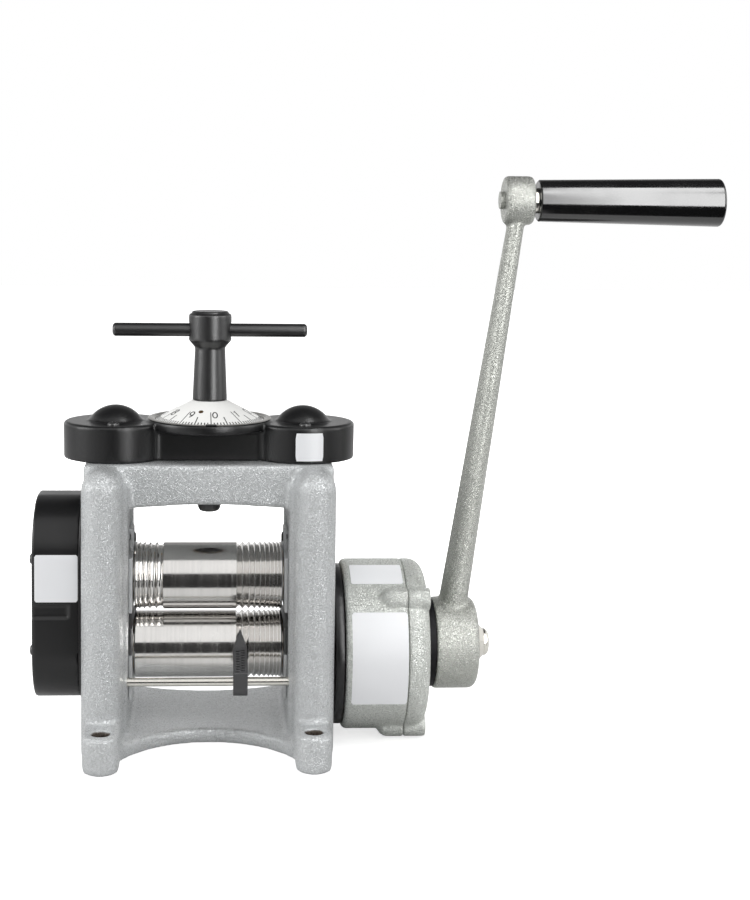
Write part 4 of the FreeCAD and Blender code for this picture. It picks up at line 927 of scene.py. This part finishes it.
def stage_world():
    """White to the camera and in mirrors, and a plain level of light for the rest."""
    plain_level = 0.5
    world = bpy.data.worlds.new("studio")
    bpy.context.scene.world = world
    world.use_nodes = True
    tree = Tree(world.node_tree)
    shade = world.node_tree.nodes["Background"]
    path = tree.add("ShaderNodeLightPath").outputs
    seen = tree.math("MAXIMUM", path["Is Camera Ray"], path["Is Glossy Ray"])
    seen = tree.math("MAXIMUM", seen, path["Is Transmission Ray"])
    tree.feed(shade.inputs["Color"], WHITE)
    tree.feed(shade.inputs["Strength"], tree.math("MAXIMUM", seen, plain_level))


def studio_card(name, corners, glow):
    """A studio card that only mirrors and shiny paint see. Its glow is how bright it looks in them."""
    cloth = Finish(name + "_cloth").settle(Base_Color=BLACK, Roughness=0.9, Specular_IOR_Level=0.0,
                                           Emission_Color=WHITE, Emission_Strength=glow)
    card = staged_sheet(name, corners, cloth)
    card.visible_camera = card.visible_diffuse = card.visible_shadow = False


def level_card(name, low, high, height, glow):
    studio_card(name, level_corners(low, high, height), glow)


def upright_card(name, left, right, distance, low, high, glow):
    studio_card(name, [(left, distance, low), (right, distance, low), (right, distance, high),
                       (left, distance, high)], glow)


def stage_cards():
    """Cards in front of, above and behind the mill, and beside the grip, for its reflections."""
    on_table = 0.004
    upright_card("front_card", left=-1.6, right=1.6, distance=-2.3, low=0.0, high=0.86, glow=0.03)
    studio_card("table_card", [(-0.6, -2.3, on_table), (0.6, -2.3, on_table), (0.1, -0.2, on_table),
                               (-0.1, -0.2, on_table)], glow=0.03)
    level_card("ceiling_card", (-1.2, -0.2), (1.2, 0.9), 1.2, glow=0.06)
    level_card("rear_card", (-1.6, 0.91), (1.6, 4.0), 1.2, glow=0.3)
    level_card("grip_table_card", (0.32, -1.3), (1.3, -0.12), on_table, glow=0.03)
    level_card("rear_table_card", (-0.4, 0.14), (0.4, 2.3), on_table, glow=0.12)
    upright_card("grip_box", left=0.55, right=0.95, distance=-1.3, low=0.0, high=1.9, glow=9.0)
    upright_card("grip_box_side", left=0.3, right=0.55, distance=-1.32, low=0.0, high=1.9, glow=4.0)
    level_card("grip_box_top", (0.55, -1.3), (0.95, 0.1), 1.9, glow=9.0)


def lamp(name, place, target, width, height, power, mirrored=True):
    """A soft box that looks at a target. One that isn't mirrored doesn't show in shiny surfaces."""
    light = bpy.data.lights.new(name, "AREA")
    light.shape = "RECTANGLE"
    light.size, light.size_y, light.energy = width, height, power
    item = bpy.data.objects.new(name, light)
    item.location = place
    item.rotation_mode = "QUATERNION"
    item.rotation_quaternion = (Vector(target) - Vector(place)).to_track_quat("-Z", "Y")
    item.visible_glossy = mirrored
    bpy.context.scene.collection.objects.link(item)


def stage_lights():
    middle = (0.08, 0.0, 0.2)
    lamp("left_box", (-1.8, -0.45, 0.9), middle, width=1.0, height=1.4, power=21)
    lamp("right_box", (1.9, -0.4, 0.9), middle, width=0.9, height=1.4, power=10)
    lamp("top_box", (0.1, -0.3, 1.9), middle, width=1.4, height=1.0, power=13, mirrored=False)
    lamp("rear_box", (0.0, 1.3, 0.55), (0.0, 0.0, 0.0), width=0.5, height=0.4, power=13, mirrored=False)


def stage_camera():
    """A camera a little above the mill, turned down and to the right by angles in radians."""
    place = Vector((-0.0008, -1.1701, 0.3998))
    pitch, yaw, roll = 0.0894, 0.0599, 0.0115
    ahead = Vector((math.sin(yaw) * math.cos(pitch), math.cos(yaw) * math.cos(pitch), -math.sin(pitch)))
    right = Vector((math.cos(yaw), -math.sin(yaw), 0))
    up = right.cross(ahead)
    right, up = right * math.cos(roll) + up * math.sin(roll), up * math.cos(roll) - right * math.sin(roll)
    data = bpy.data.cameras.new("camera")
    data.sensor_width = 36
    data.lens = 62.91
    data.shift_x, data.shift_y = 0.08, -0.12
    data.clip_start, data.clip_end = 0.05, 50
    camera = bpy.data.objects.new("camera", data)
    camera.matrix_world = Matrix.Translation(place) @ Matrix((right, up, -ahead)).transposed().to_4x4()
    bpy.context.scene.collection.objects.link(camera)
    bpy.context.scene.camera = camera


cap_screws()
cover_screws()
case_screws()
chock_screws()
shaft_end()
lift_springs()
guide_ribs()
dial_marks()
dial_rim()
index_bar()
dial_lock_socket()
labels()
stage_floor()
stage_world()
stage_cards()
stage_lights()
stage_camera()
bpy.context.scene.view_settings.view_transform = "Standard"
